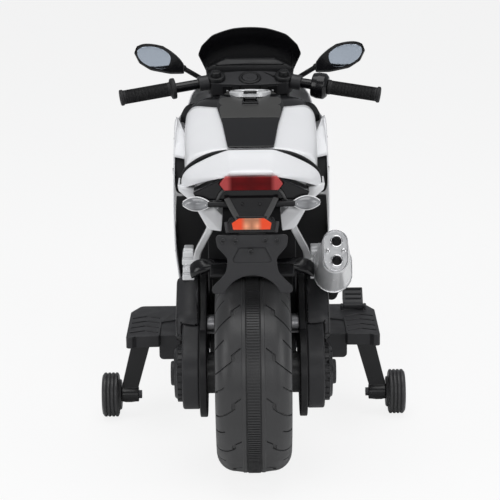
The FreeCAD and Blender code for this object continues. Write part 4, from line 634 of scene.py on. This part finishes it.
def make_exhaust():
    """End cap with a raised rim and two outlets, black discs of painted shade deep in the outlets, the
    belly's end ring and the strap that holds the can.
    """
    tilt = rotated(-30, "X")
    seat = placed(142, -20, 396) @ tilt

    def stadium(bm, width, height, y):
        ring = bmesh.ops.create_circle(bm, cap_ends=True, radius=width / 2 * MM, segments=56)["verts"]
        for vert in ring:
            lift = math.copysign((height - width) / 2 * MM, vert.co.y) if abs(vert.co.y) > 1e-6 else 0
            vert.co = Vector((vert.co.x, y * MM, vert.co.y + lift))
        return list({face for vert in ring for face in vert.link_faces})

    bm = bmesh.new()
    faces = stadium(bm, 44, 75, 0)
    for inward, outward in ((0.01, 6), (1.6, 1.2), (2.2, 0), (0.6, -2.6), (1.2, -0.4)):
        bmesh.ops.inset_region(bm, faces=faces, thickness=inward * MM, use_even_offset=True)
        bmesh.ops.translate(bm, vec=(0, -outward * MM, 0), verts=list({v for f in faces for v in f.verts}))
    outlets = (-17, 17)
    opening = list({edge for face in faces for edge in face.edges})
    bmesh.ops.delete(bm, geom=faces, context="FACES_ONLY")
    for z in outlets:
        hole = bmesh.ops.create_circle(bm, radius=8.6 * MM, segments=40)["verts"]
        for vert in hole:
            vert.co = Vector((vert.co.x + 2 * MM, -4.2 * MM, vert.co.y + z * MM))
        opening += list({edge for vert in hole for edge in vert.link_edges})
    bmesh.ops.triangle_fill(bm, use_beauty=True, edges=opening)
    bmesh.ops.transform(bm, matrix=seat, verts=bm.verts[:])
    to_piece("exhaust_end_plate", bm, "silver_plastic", "exhaust_end_cap", sharp=35)
    bm = bmesh.new()
    # Black discs deep in the outlets are painted shade: they stand for the shadow at the bottom of the outlet
    # tubes.
    throats = bmesh.new()
    for z in outlets:
        outlet = seat @ moved(2, 0, z) @ BACKWARD
        turned(bm, [(-14, 8.4), (-2, 5.4), (2, 6.6), (6, 7.8), (8.4, 8.4), (9.4, 9.2), (9.6, 10), (9.0, 10.8),
                    (7, 11), (3, 11), (-14, 11), (-14, 8.4)], 40, outlet)
        turned(throats, [(-5, 0.01), (-5, 5.9), (-2.6, 5.9), (-2.6, 0.01)], 32, outlet)
    to_piece("exhaust_outlets", bm, "silver_plastic", sharp=35, finish=POLISHED)
    to_piece("exhaust_throats_painted_shade", throats, "black_plastic", sharp=35)
    bm = bmesh.new()
    for x in (-13, 14):
        screw_head(bm, seat @ moved(x, -7.4, 0) @ BACKWARD, 4.4, 3.4)
    to_piece("exhaust_cap_screws", bm, "silver_plastic", sharp=35, finish=POLISHED)

    def hoop(bm, width, height, y, wide, thick):
        loops = []
        for inward, ahead in ((0, 0), (0, wide), (thick, wide), (thick, 0)):
            ring = stadium(bm, width - 2 * inward, height - 2 * inward, y + ahead)
            loops.append([edge for face in ring for edge in face.edges])
            bmesh.ops.delete(bm, geom=ring, context="FACES_ONLY")
        for near, far in zip(loops, loops[1:] + loops[:1]):
            bmesh.ops.bridge_loops(bm, edges=near + far)

    bm = bmesh.new()
    hoop(bm, 69, 90, 108.5, 4, 4)
    hoop(bm, 43.4, 74.4, -9.4, 3, 2.6)
    bmesh.ops.transform(bm, matrix=seat, verts=bm.verts[:])
    to_piece("exhaust_bands", bm, "silver_plastic", sharp=35, edge=0.7, finish=POLISHED)
    bm = bmesh.new()
    for place, size in (((117, 42, 376), (5, 24, 34)), ((121, 26, 364), (9, 12, 12)),
                        ((121, 34, 340), (9, 12, 14))):
        box(bm, placed(*place) @ tilt, *size)
    to_piece("exhaust_strap", bm, "silver_plastic", sharp=35, edge=1.4, finish=ZINC)


def make_fuel_cap():
    """Bright ring round a black lid, with black cups in its screw wells that are painted shade for the shadow
    inside the wells, and the hinge tab in front.
    """
    seat = placed(0, 522, 576) @ rotated(-6, "X")
    upright = seat @ UPWARD
    bm = bmesh.new()
    turned(bm, [(-6, 41), (1.5, 41), (3.4, 39.8), (4.2, 38), (4.2, 32.5), (3.2, 31), (1.0, 30), (-6, 30)], 72,
           upright)
    to_piece("fuel_cap_ring", bm, "silver_plastic", "fuel_cap", sharp=30)
    bm = bmesh.new()
    turned(bm, [(-4, 30.4), (0.6, 30.4), (1.4, 29), (1.4, 14), (2.6, 13), (2.6, 0.01)], 56, upright)
    # Black cups in the ring's eight screw wells: painted shade for the shadow inside the wells.
    for index in range(8):
        angle = math.radians(22.5 + 45 * index)
        well = upright @ moved(4, math.cos(angle) * 35.4, math.sin(angle) * 35.4)
        turned(bm, [(-0.5, 2.6), (0.5, 2.6), (0.5, 1.6), (-0.2, 1.2), (-0.2, 0.01)], 16, well)
    ease_block(bm, box(bm, seat @ moved(0, -36, 3.2), 26, 15, 5), 1.2, 3)
    to_piece("fuel_cap_lid_and_well_shade", bm, "black_gloss", sharp=34)


def make_fender_screws():
    """Dark screws of the plate carrier and the hanger."""
    bm = bmesh.new()
    place = placed(0, -87, 446) @ rotated(-11, "X")
    for x, z, skirt in ((-48, -10, 1.4), (-28, -10, 1.4), (22, -10, 1.4), (42, -10, 1.4), (-2, -28, 3.4)):
        screw_head(bm, place @ moved(x, -9.8, z) @ BACKWARD, 4.4, skirt)
    for x in (-15, 14):
        screw_head(bm, placed(x, -70.5, 494) @ BACKWARD @ rotated(-22, "Y"), 2.8)
    to_piece("tail_screws", bm, "black_gloss", sharp=34)


def sheet_through(bm, rows):
    """Bends a flat grid through rows of points in millimetres, (x, y, z) with y from the rear axle."""
    grid = bmesh.ops.create_grid(bm, x_segments=len(rows[0]) - 1, y_segments=len(rows) - 1, size=1)["verts"]
    for vert, point in zip(grid, [point for row in rows for point in row]):
        vert.co = spot(*point)


def both_halves(half):
    """Adds the left half to a row of points that runs from the middle to the right."""
    return [(-x, y, z) for x, y, z in reversed(half[1:])] + half


def arched(rows):
    """Completes half sections, each a y and its (x, z) points from the middle outwards, to whole ones."""
    return [both_halves([(x, y, z) for x, z in half]) for y, half in rows]


def hold_edges(bm, amount, wanted):
    """Keeps the edges that a test picks crisp when the surface is rounded."""
    layer = bm.edges.layers.float.get("crease_edge") or bm.edges.layers.float.new("crease_edge")
    for edge in bm.edges:
        if wanted(edge):
            edge[layer] = amount


def on_border(edge):
    return edge.is_boundary


def beyond(y, ahead):
    """A test for edges that lie wholly ahead of a place along the bike, or wholly behind it."""
    line = spot(0, y, 0).y
    return lambda edge: all((v.co.y > line) == ahead for v in edge.verts)


def shell(name, rows, slot, *stands_for, holds=(), border=0.0, make=to_piece, smooth=2, wall=2.5, **looks):
    """A thin moulded shell bent through rows of points; holds are (amount, test) for edges inside it."""
    bm = bmesh.new()
    sheet_through(bm, rows)
    for amount, wanted in holds:
        hold_edges(bm, amount, wanted)
    if border:
        hold_edges(bm, border, on_border)
    make(name, bm, slot, *stands_for, sharp=0, smooth=smooth, wall=wall, **looks)


def make_cowl():
    """White tail cowl with a flat hump, its lower edge rising to the tail light."""
    rows = arched([
        (-59, [(0, 540), (34, 539.5), (38, 539), (40.5, 538.5), (42.5, 538), (44, 537.5), (44.5, 537)]),
        (-61, [(0, 547), (34, 546), (38, 545), (41, 543.5), (43.5, 541.5), (45.5, 539.5), (46, 537)]),
        (-42, [(0, 553), (35.5, 552.5), (50, 549), (63, 544), (72, 538), (77, 533.5), (76, 527.5)]),
        (-24, [(0, 560), (36.5, 559.5), (60, 553), (81, 543), (95, 532.5), (104, 524), (101, 516)]),
        (-9, [(0, 567), (37.5, 567), (62, 558.5), (84, 548.5), (101, 538), (113, 526), (111, 510)]),
        (2, [(0, 571.5), (38.5, 571.3), (64, 562.8), (86, 552.6), (105, 542.2), (119.5, 528), (118.5, 503)]),
        (9, [(0, 560), (39, 560), (65, 552), (88, 542), (108, 533), (122.5, 519), (121, 498)]),
        (60, [(0, 520), (50, 528), (78, 521), (104, 517), (121, 516), (128, 508), (126, 494)]),
        (150, [(0, 460), (60, 462), (84, 464), (106, 468), (117, 479), (121, 475), (118, 467)])])
    hump, hump_foot = spot(0, 2, 0).y, 0.545

    def on_hump(edge):
        return all(abs(v.co.y - hump) < WELD for v in edge.verts)

    def beside_hump(edge):
        return all(33 * MM < abs(v.co.x) < 39.5 * MM and v.co.z > hump_foot for v in edge.verts)

    shell("tail_cowl_shell", rows, "white_gloss", "tail_cowl",
          holds=((0.55, on_hump), (0.5, beside_hump)), border=0.7, smooth=3, wall=3)


def make_tail_panels():
    """White side panels that run from the cowl's corners inwards, past the signals."""
    outline = [(125, 514), (123, 503), (105.5, 487.5), (91, 466), (77, 440), (71, 434.5), (52, 431.5),
               (49.5, 460), (63, 474), (79, 469.5), (88, 481), (97, 508)]
    bm = bmesh.new()
    face = outlined(bm, [spot(x, -9, z) for x, z in outline])
    drawn_out(bm, [face], 58)
    bmesh.ops.inset_region(bm, faces=[face], thickness=4.5 * MM, use_even_offset=True)
    bmesh.ops.translate(bm, vec=(0, -2.2 * MM, 0), verts=face.verts[:])
    to_pair("tail_panel", bm, "white_gloss", sharp=30, edge=1.6)


def make_seat():
    """Moulded saddle whose back edge rises behind the rider and shows as a dark lip above the cowl."""
    rows = arched([
        (3, [(0, 570.5), (41, 570.6), (64, 567.2), (86, 559.8), (105, 548), (121, 532.5), (121, 510)]),
        (9, [(0, 571), (42, 571.2), (65, 567.8), (87, 560), (106, 548), (121, 532.5), (120, 509)]),
        (20, [(0, 568), (44, 569), (67, 565), (88, 556), (106, 543), (118, 527), (116.5, 505)]),
        (50, [(0, 548), (46, 556), (78, 548), (101, 536), (113, 522), (117, 505), (115, 486)]),
        (110, [(0, 500), (54, 510), (80, 507), (98, 501), (107, 492), (109, 480), (108, 466)]),
        (210, [(0, 466), (54, 474), (76, 473), (92, 468), (99, 460), (101, 450), (100, 438)]),
        (270, [(0, 482), (48, 488), (68, 485), (84, 478), (91, 467), (93, 452), (92, 436)]),
        (296, [(0, 492), (44, 496), (66, 492), (80, 484), (86, 474), (88, 455), (88, 436)])])
    shell("seat_saddle", rows, SLOT_OF["seat"], "seat", holds=((0.8, beyond(6, False)),), border=0.6,
          wall=4)


def make_tank():
    """White tank halves, crowned and turned under at the sides, and the dark cover in front of them."""
    rows = arched([
        (295, [(0, 470), (40, 470), (70, 470), (94, 470), (110, 468), (118, 462), (119, 452), (116, 442)]),
        (297, [(0, 508), (44, 509), (76, 505), (101, 499), (113, 494), (119, 486), (121.5, 468), (122, 436)]),
        (340, [(0, 523), (48, 524), (80, 521), (106, 514), (119, 507), (124, 498), (126, 478), (125, 444)]),
        (380, [(0, 536), (54, 538), (84, 536), (110, 530), (122, 522), (127, 512), (126.5, 488), (126, 452)]),
        (420, [(0, 548), (60, 550), (88, 549), (112, 544.5), (123, 537), (127.5, 526), (122.5, 506),
               (122, 459)])])
    rim = [(0, 448, 556), (66, 452, 560.5), (90, 460, 561), (109, 472, 561.5), (119, 464, 553),
           (127, 453, 541), (119.5, 446, 519), (119, 440, 464)]
    inside = [(0, 452, 552), (62, 457, 554), (86, 464, 553), (102, 471, 551), (112, 466, 543),
              (118, 456, 532), (113, 450, 516), (113, 444, 464)]
    rows += [both_halves(rim), both_halves(inside)]
    lip = [spot(*point) for point in both_halves(rim)]

    def on_lip(edge):
        return all(any((v.co - place).length < WELD for place in lip) for v in edge.verts)

    shell("tank_halves", rows, "white_gloss", "tank_shell",
          holds=((0.75, beyond(298, False)), (0.85, on_lip)))
    rows = arched([
        (448, [(0, 553), (64, 556), (90, 555.5), (111, 551), (119, 544), (122, 536), (116, 510), (114, 464)]),
        (480, [(0, 564), (63.5, 566), (89, 566), (107, 562), (116, 556), (119, 549), (117, 518), (114, 472)]),
        (505, [(0, 568), (61, 570), (83, 570), (100, 566.5), (110, 560), (113, 553), (111, 525), (108, 479)]),
        (532, [(0, 568), (51, 569), (71, 568), (85, 564), (94, 558), (97, 551), (94, 527), (89, 490)]),
        (551, [(0, 566), (43, 566), (59, 564), (73, 559), (80, 554), (83, 548), (79, 527), (73, 500)]),
        (553, [(0, 540), (30, 540), (44, 540), (56, 540), (64, 538), (66, 536), (64, 528), (60, 516)])])
    shell("tank_front_cover", rows, "black_gloss", holds=((0.75, beyond(550, True)),))


FAIRING_REACH = ((150, 121), (190, 130), (232, 138), (300, 146), (350, 148.5), (424, 150), (484, 148.5),
                 (512, 146.5), (540, 143.5))


def bow(y, z):
    """How far out the fairing reaches at a place along the bike and a height."""
    near = max(pair for pair in FAIRING_REACH[:-1] if pair[0] <= z)
    far = FAIRING_REACH[FAIRING_REACH.index(near) + 1]
    out = near[1] + (far[1] - near[1]) * (z - near[0]) / (far[0] - near[0])
    ahead = min(max((y - 560) / 134, 0), 1)
    return out - 13 * ahead * ahead * (3 - 2 * ahead)


def make_fairings():
    """Bowed white side fairings, the shoulders that close them to the tank, and their dark linings."""
    columns = ((339, 238, 325), (352, 200, 356), (374, 186, 398), (398, 183, 442), (414, 181, 474),
               (430, 179, 512), (442, 177, 532), (460, 175, 538), (482, 173, 537), (502, 170, 524),
               (530, 165, 517), (560, 162, 515), (588, 225, 514), (612, 300, 514), (650, 420, 515),
               (676, 452, 516), (694, 470, 516))
    panel = []
    for y, low, high in columns:
        heights = [low + (high - low) * step / 9 for step in range(10)]
        panel.append([(bow(y, z), y, z) for z in heights])
    shoulder = [
        [(144, 484, 537), (146, 460, 531), (147.3, 440, 513), (148, 425, 494), (148, 408, 474)],
        [(141, 480, 535), (139, 456, 524), (136, 437, 507), (134, 421, 490), (130, 405, 471)],
        [(138, 474, 532), (130, 449, 517), (118, 432, 499), (116, 416, 484), (110, 402, 467)]]
    lining = [
        [(90, 392, 404), (110, 391, 404), (130, 392, 404), (146.5, 394, 404)],
        [(92, 398, 436), (112, 397, 436), (131, 398, 436), (146.5, 402, 436)],
        [(100, 410, 470), (116, 409, 470), (132, 411, 472), (145.5, 416, 476)],
        [(112, 432, 484), (122, 432, 484), (134, 434, 487), (143.5, 438, 490)]]
    cockpit = [
        [(80, 556, 496), (98, 566, 498), (116, 580, 500), (130, 596, 502), (140, 612, 503)],
        [(82, 557, 520), (100, 568, 524), (117, 582, 526), (130, 598, 524), (139, 612, 512)],
        [(84, 558, 545), (101, 570, 547), (118, 584, 545), (129, 598, 536), (137, 610, 518)]]
    shell("side_fairing", panel, "white_gloss", "side_fairings", border=0.8, make=to_pair, smooth=1, wall=3)
    shell("fairing_shoulder", shoulder, "white_gloss", border=0.8, make=to_pair)
    shell("fairing_lining", lining, "black_plastic", make=to_pair)
    shell("cockpit_side", cockpit, "black_plastic", border=0.6, make=to_pair)


def make_fairing_trim():
    """Louvred dark inlet, a seam and screws on the outside of each fairing."""
    outward = Vector((1, 0, 0))
    inlet = []
    for z, rear, front in ((288, 452, 556), (306, 446, 566), (326, 452, 576), (346, 462, 586),
                           (362, 478, 590)):
        along = [rear + (front - rear) * step / 6 for step in range(7)]
        inlet.append([(bow(y, z) + 0.9, y, z) for y in along])
    seam = ((402, 452), (420, 437), (440, 424), (465, 414.5), (490, 408), (520, 405), (550, 404),
            (570, 404.6), (590, 406.6), (610, 410), (630, 416.5), (646, 424))
    shell("fairing_inlet", inlet, "black_gloss", make=to_pair, wall=1.6)
    bm = bmesh.new()
    for z, rear, front in ((302, 460, 552), (321, 463, 562), (340, 471, 572)):
        stops = ((rear, 0), ((2 * rear + front) / 3, 2), ((rear + 2 * front) / 3, 4), (front, 6))
        path = [spot(bow(y, z + lift) + 1.4, y, z + lift) for y, lift in stops]
        swept(bm, [(-2, -3), (2.6, -1.6), (2.6, 0.6), (-2, 3)], path, outward)
    to_pair("inlet_louvres", bm, "white_gloss", sharp=40, edge=0.6)
    bm = bmesh.new()
    path = [spot(bow(y, z), y, z) for y, z in seam]
    swept(bm, [(-1, -0.7), (0.9, -0.7), (0.9, 0.7), (-1, 0.7)], path, outward)
    to_pair("fairing_seam", bm, "dark_grey_plastic", sharp=40, finish=WORN_GREY)
    bm = bmesh.new()
    for y, z in ((362, 300), (384, 212), (540, 190), (452, 500), (660, 480)):
        screw_head(bm, placed(bow(y, z) - 0.9, y, z), 3.6)
    to_pair("fairing_screws", bm, "black_plastic", sharp=34)


def make_nose():
    """Pointed nose whose top, sides and belly meet in soft ridges, with the headlight round its tip."""
    sections = (
        (694, [(0, 592), (48, 592), (81, 590), (104, 567), (122, 541), (133, 508), (137, 474), (110, 465),
               (84, 457), (40, 456), (0, 456)]),
        (732, [(0, 586), (44, 586), (75, 583), (96, 562), (112, 536), (117, 508), (118, 474), (98, 463),
               (72, 456), (34, 455), (0, 455)]),
        (770, [(0, 577), (40, 577), (67, 574.5), (86, 554), (101, 530), (101, 505), (99, 474), (82, 463),
               (60, 455), (30, 454), (0, 454)]),
        (806, [(0, 563), (32, 563), (54, 560), (71, 542), (84, 523), (83, 502), (80, 476), (66, 464),
               (48, 455.5), (24, 455), (0, 455)]),
        (840, [(0, 547), (24, 547), (41, 544.5), (55, 531), (67, 516.5), (65, 499), (61, 479.5), (50, 467),
               (36, 456.5), (18, 456), (0, 456)]),
        (864, [(0, 525), (14, 525), (25, 522), (35, 515), (43, 506), (41, 495), (38, 482), (31, 474),
               (22, 466), (11, 465.5), (0, 465.5)]),
        (880, [(0, 508), (8, 508), (14, 506), (20, 502.5), (25, 498), (24, 491), (22, 484), (17.5, 478.5),
               (12, 474), (6, 473.5), (0, 473.5)]))
    bm = bmesh.new()
    sheet_through(bm, arched(sections))
    bmesh.ops.remove_doubles(bm, verts=bm.verts[:], dist=WELD)
    fork_room = 0.472
    for vert in bm.verts:
        if vert.co.z < fork_room and vert.co.y < spot(0, 700, 0).y:
            vert.co.y += (fork_room - vert.co.z) * 0.9
    at_tip = beyond(879, True)
    bmesh.ops.edgeloop_fill(bm, edges=[edge for edge in bm.edges if at_tip(edge)])
    hold_edges(bm, 0.9, on_border)
    hold_edges(bm, 0.5, at_tip)
    ridges = {(half[corner][0], y) for y, half in sections for corner in (2, 4, 6)}

    def along_ridge(edge):
        ends = [(round(abs(v.co.x) / MM, 1), round((v.co.y - REAR_AXLE.y) / MM)) for v in edge.verts]
        return ends[0][1] != ends[1][1] and all(end in ridges for end in ends)

    hold_edges(bm, 0.45, along_ridge)
    to_piece("nose_shell", bm, "white_gloss", "nose_fairing", sharp=0, smooth=3, wall=2.5)

    def round_tip(name, grow, high, low, slot, *stands_for):
        path = ((0, 884, 0), (16, 882, 0.3), (31, 874, 1), (45, 862, 2.2), (59, 846, 4), (67, 829, 6.5))
        rows = []
        for z, out in ((low, -0.6), ((2 * low + high) / 3, 0.7), ((low + 2 * high) / 3, 0.7), (high, -0.6)):
            proud = grow + out
            rows.append(both_halves([(x + proud * 0.7 * min(x / 30, 1), y + proud * 0.8, z + lift)
                                     for x, y, lift in path]))
        shell(name, rows, slot, *stands_for, border=0.8, wall=5)

    round_tip("headlight_lens", 6.0, 503, 486.5, SLOT_OF["headlight"], "headlight")
    round_tip("headlight_bezel", 4.4, 506.5, 483, "black_gloss")


def make_switch_plate():
    """Satin plate round the rocker switch and the fuel cap, lighter than the black tank panel: partly its own
    satin grey, partly painted light for the light its flat top catches from above.
    """
    rows = arched([
        (400, [(0, 549.9), (40, 549.9), (54, 549.6), (55.6, 548.6)]),
        (404, [(0, 551.6), (40, 551.6), (54.4, 551.2), (56, 550)]),
        (450, [(0, 566.1), (48, 566.1), (61.6, 565.9), (63.2, 564.8)]),
        (500, [(0, 576.1), (46, 576.1), (58, 575.9), (59.4, 574.8)]),
        (549, [(0, 574.2), (32, 574.2), (40.4, 574), (41.6, 573)])])
    shell("switch_plate", rows, "dark_grey_plastic", border=0.8, wall=1.4, finish=SATIN_PAINTED_TOP_LIGHT)


def make_clamp_trim():
    """Raised collar round the button, ribs down the clamp's back and its bright screws."""
    bm = bmesh.new()
    top = STEERING @ moved(0, 0, 456.4) @ UPWARD
    turned(bm, [(-1, 16), (2.4, 16), (3.4, 17), (3.4, 20), (2.4, 22), (-1, 23), (-1, 16)], 48, top)
    for x in (-20, 20):
        box(bm, STEERING @ moved(x, -23.6, 443.5), 3.4, 5, 25)
    for x in (-45, 45):
        box(bm, STEERING @ moved(x, -20.6, 443.5) @ rotated(math.copysign(6, x), "Z"), 20, 5, 17)
    to_piece("clamp_trim", bm, "black_plastic", body="steering", sharp=34, edge=0.9)
    bm = bmesh.new()
    for x in (-45, 45):
        screw_head(bm, STEERING @ moved(x, -23.1, 441) @ BACKWARD, 2.6)
    to_piece("clamp_screws", bm, "silver_plastic", body="steering", sharp=34, finish=ZINC)


def make_mirrors():
    """Teardrop mirror heads, hollow at the front for the glass."""
    edge_points = [(-2, -10), (27, -10), (67, -2), (90, 13), (100, 34), (94, 48.5), (76, 53.5), (40, 48.5),
                   (14, 28), (-1, 12)]
    glass_points = [(31, -3.5), (65, 3), (87.5, 16.5), (95.5, 33.5), (91, 44), (75, 48.5), (42, 44), (20, 26)]
    ball = Vector((136, 700, 596))
    bm = bmesh.new()
    front = outlined(bm, [spot(ball.x + u, ball.y - 10, ball.z + v) for u, v in edge_points])
    bmesh.ops.recalc_face_normals(bm, faces=[front])
    skin = [front]
    for inward, depth in ((-0.8, 6), (1.6, 7), (6, 5), (9, 2.5)):
        skin, corners = drawn_out(bm, skin, depth)
        middle = sum((vert.co for vert in corners), Vector()) / len(corners)
        for vert in corners:
            away = vert.co - middle
            away.y = 0
            vert.co -= away.normalized() * inward * MM
    bmesh.ops.inset_region(bm, faces=[front], thickness=2.2 * MM, use_even_offset=True)
    bmesh.ops.translate(bm, vec=(0, 1.2 * MM, 0), verts=front.verts[:])
    hold_edges(bm, 0.55, beyond(ball.y - 8, False))
    for side, half in sides_of(bm):
        node = f"mirror_head_{side}"
        to_piece(f"mirror_case_{side}", half, SLOT_OF[node], node, body=BODY_OF[node], sharp=0, smooth=3)
    bm = bmesh.new()
    pane = outlined(bm, [spot(ball.x + u, ball.y - 8.2, ball.z + v) for u, v in glass_points])
    bmesh.ops.recalc_face_normals(bm, faces=[pane])
    drawn_out(bm, [pane], -1.4)
    plane_lines = {round(spot(0, ball.y - gap, 0).y, 5) for gap in (8.2, 9.6)}
    hold_edges(bm, 0.75, lambda edge: len({round(v.co.y, 5) for v in edge.verts} & plane_lines) == 1)
    for side, half in sides_of(bm):
        node = f"mirror_glass_{side}"
        to_piece(f"mirror_pane_{side}", half, "mirror_glass", node, body=BODY_OF[node], sharp=30, smooth=3)


def make_reflector():
    """Six-sided reflector in its frame, with bent flanges at the frame's ends."""
    seat = placed(0, -84, 462) @ rotated(-22.8, "X")
    lens_edge = [(-31, -9.5), (31, -9.5), (33, 1.5), (21, 9.5), (-21, 9.5), (-33, 1.5)]
    frame_edge = [(-38, -14), (38, -14), (41, 3), (27, 13.5), (-27, 13.5), (-41, 3)]

    def plate(name, outline, near, far, slot, edge, *stands_for):
        bm = bmesh.new()
        face = outlined(bm, [Vector((u * MM, -near * MM, v * MM)) for u, v in outline])
        drawn_out(bm, [face], near - far)
        bmesh.ops.transform(bm, matrix=seat, verts=bm.verts[:])
        to_piece(name, bm, slot, *stands_for, sharp=30, edge=edge)

    plate("reflector_lens", lens_edge, 3, 8.6, "orange_lens", 1.0, "rear_reflector")
    plate("reflector_frame", frame_edge, 0.5, 6, "black_gloss", 1.2)
    bm = bmesh.new()
    for hand in (1, -1):
        bent = rotated(hand * 9, "Y") @ rotated(hand * 28, "Z")
        box(bm, seat @ moved(hand * 40.5, -4.5, -5) @ bent, 5.5, 9, 19)
    to_piece("reflector_flanges", bm, "dark_grey_plastic", sharp=30, edge=1.2)


def make_hanger_trim():
    """Turned-up flanges along the hanger's slanted sides and the two bent ribs above it."""
    bm = bmesh.new()
    for hand in (1, -1):
        near = spot(hand * 41.5, -69, 504)
        path = [near.lerp(spot(hand * 21, -85.5, 468), share) for share in (0, 0.5, 1)]
        swept(bm, [(-5, -1.5), (5, -1.5), (5, 1.5), (-5, 1.5)], path, Vector((hand, -0.5, 0.25)))
    to_piece("hanger_flanges", bm, "dark_grey_plastic", sharp=30, edge=0.9, finish=WORN_GREY)
    bm = bmesh.new()
    corners = [math.radians(45 * step) for step in range(8)]
    ring = [(math.cos(angle) * 2.4, math.sin(angle) * 2.4) for angle in corners]
    for hand in (1, -1):
        path = [spot(hand * x, y, z) for x, y, z in (
            (44, -60, 516), (48, -62, 515), (52, -63, 510), (56, -63, 502), (58, -62, 496))]
        swept(bm, ring, path, Vector((0, 1, 0)))
    to_piece("hanger_ribs", bm, "dark_grey_plastic", sharp=0, finish=WORN_GREY)


def make_fender_wings():
    """Glossy dark wings that flare from the inner fender to both sides."""
    rows = [
        [(42, 40, 368), (58, 42, 369), (76, 44, 370), (92, 46, 369), (103, 47, 364), (109, 50, 356)],
        [(42, 34, 367), (58, 32, 366), (76, 31, 365), (92, 32, 362), (103, 35, 357), (109, 40, 350)],
        [(42, 30, 365), (58, 26, 361), (76, 24, 356), (92, 25, 351), (102, 29, 346), (108, 36, 341)],
        [(42, 30, 362), (58, 28, 357), (76, 28, 350), (92, 30, 344), (101, 35, 338), (106, 42, 334)]]
    shell("fender_wing", rows, "black_gloss", border=0.5, make=to_pair)


make_tyre("rear_tyre", "rear_wheel", REAR_AXLE, 175, 130, 34, 92, "rear_wheel")
make_band("rear_band", "rear_wheel", REAR_AXLE, 175, "rear_traction_band")
make_tyre("front_tyre", "front_wheel", FRONT_AXLE, 165, 92, 26, 52.6, "front_wheel")
make_band("front_band", "front_wheel", FRONT_AXLE, 165, "front_traction_band")
make_grip("left_grip", "steering", "grip_left", -1, BAR_LENGTH - 112, BAR_LENGTH, 0, True)
make_grip("right_throttle", "throttle", "throttle_grip", 1, BAR_LENGTH - 105.6, BAR_LENGTH, 0.05, False)
make_fork_caps()
make_signals()
make_struts()
make_exhaust()
make_fuel_cap()
make_fender_screws()

for label, edge in {
        "windscreen": 1.2, "dashboard": 5, "tail_tray": 2.5, "tail_light": 1.6, "plate_hanger": 1.2,
        "rear_fender": 1.6, "inner_fender": 1.6, "exhaust_can": 1.4, "footrest_left": 1.4,
        "footrest_right": 1.4, "foot_pedal": 1.2, "stabiliser_arms": 1.2, "stabiliser_wheel_left": 0.9,
        "stabiliser_wheel_right": 0.9, "swingarm_covers": 4, "swingarms": 2, "gearbox_housings": 3.5,
        "gearbox_covers": 0.6, "upper_fork_clamp": 1.0, "throttle_housing": 1.2, "start_button": 0.5,
        "front_fender": 1.6, "power_switch": 0.5, "chassis_halves": 2}.items():
    eased(label, edge)
eased("tank_top_panel", 2.0, FINISHES["black_gloss"])
make_cowl()
make_tail_panels()
make_seat()
make_tank()
make_fairings()
make_fairing_trim()
make_nose()
make_switch_plate()
make_clamp_trim()
make_mirrors()
make_reflector()
make_hanger_trim()
make_fender_wings()
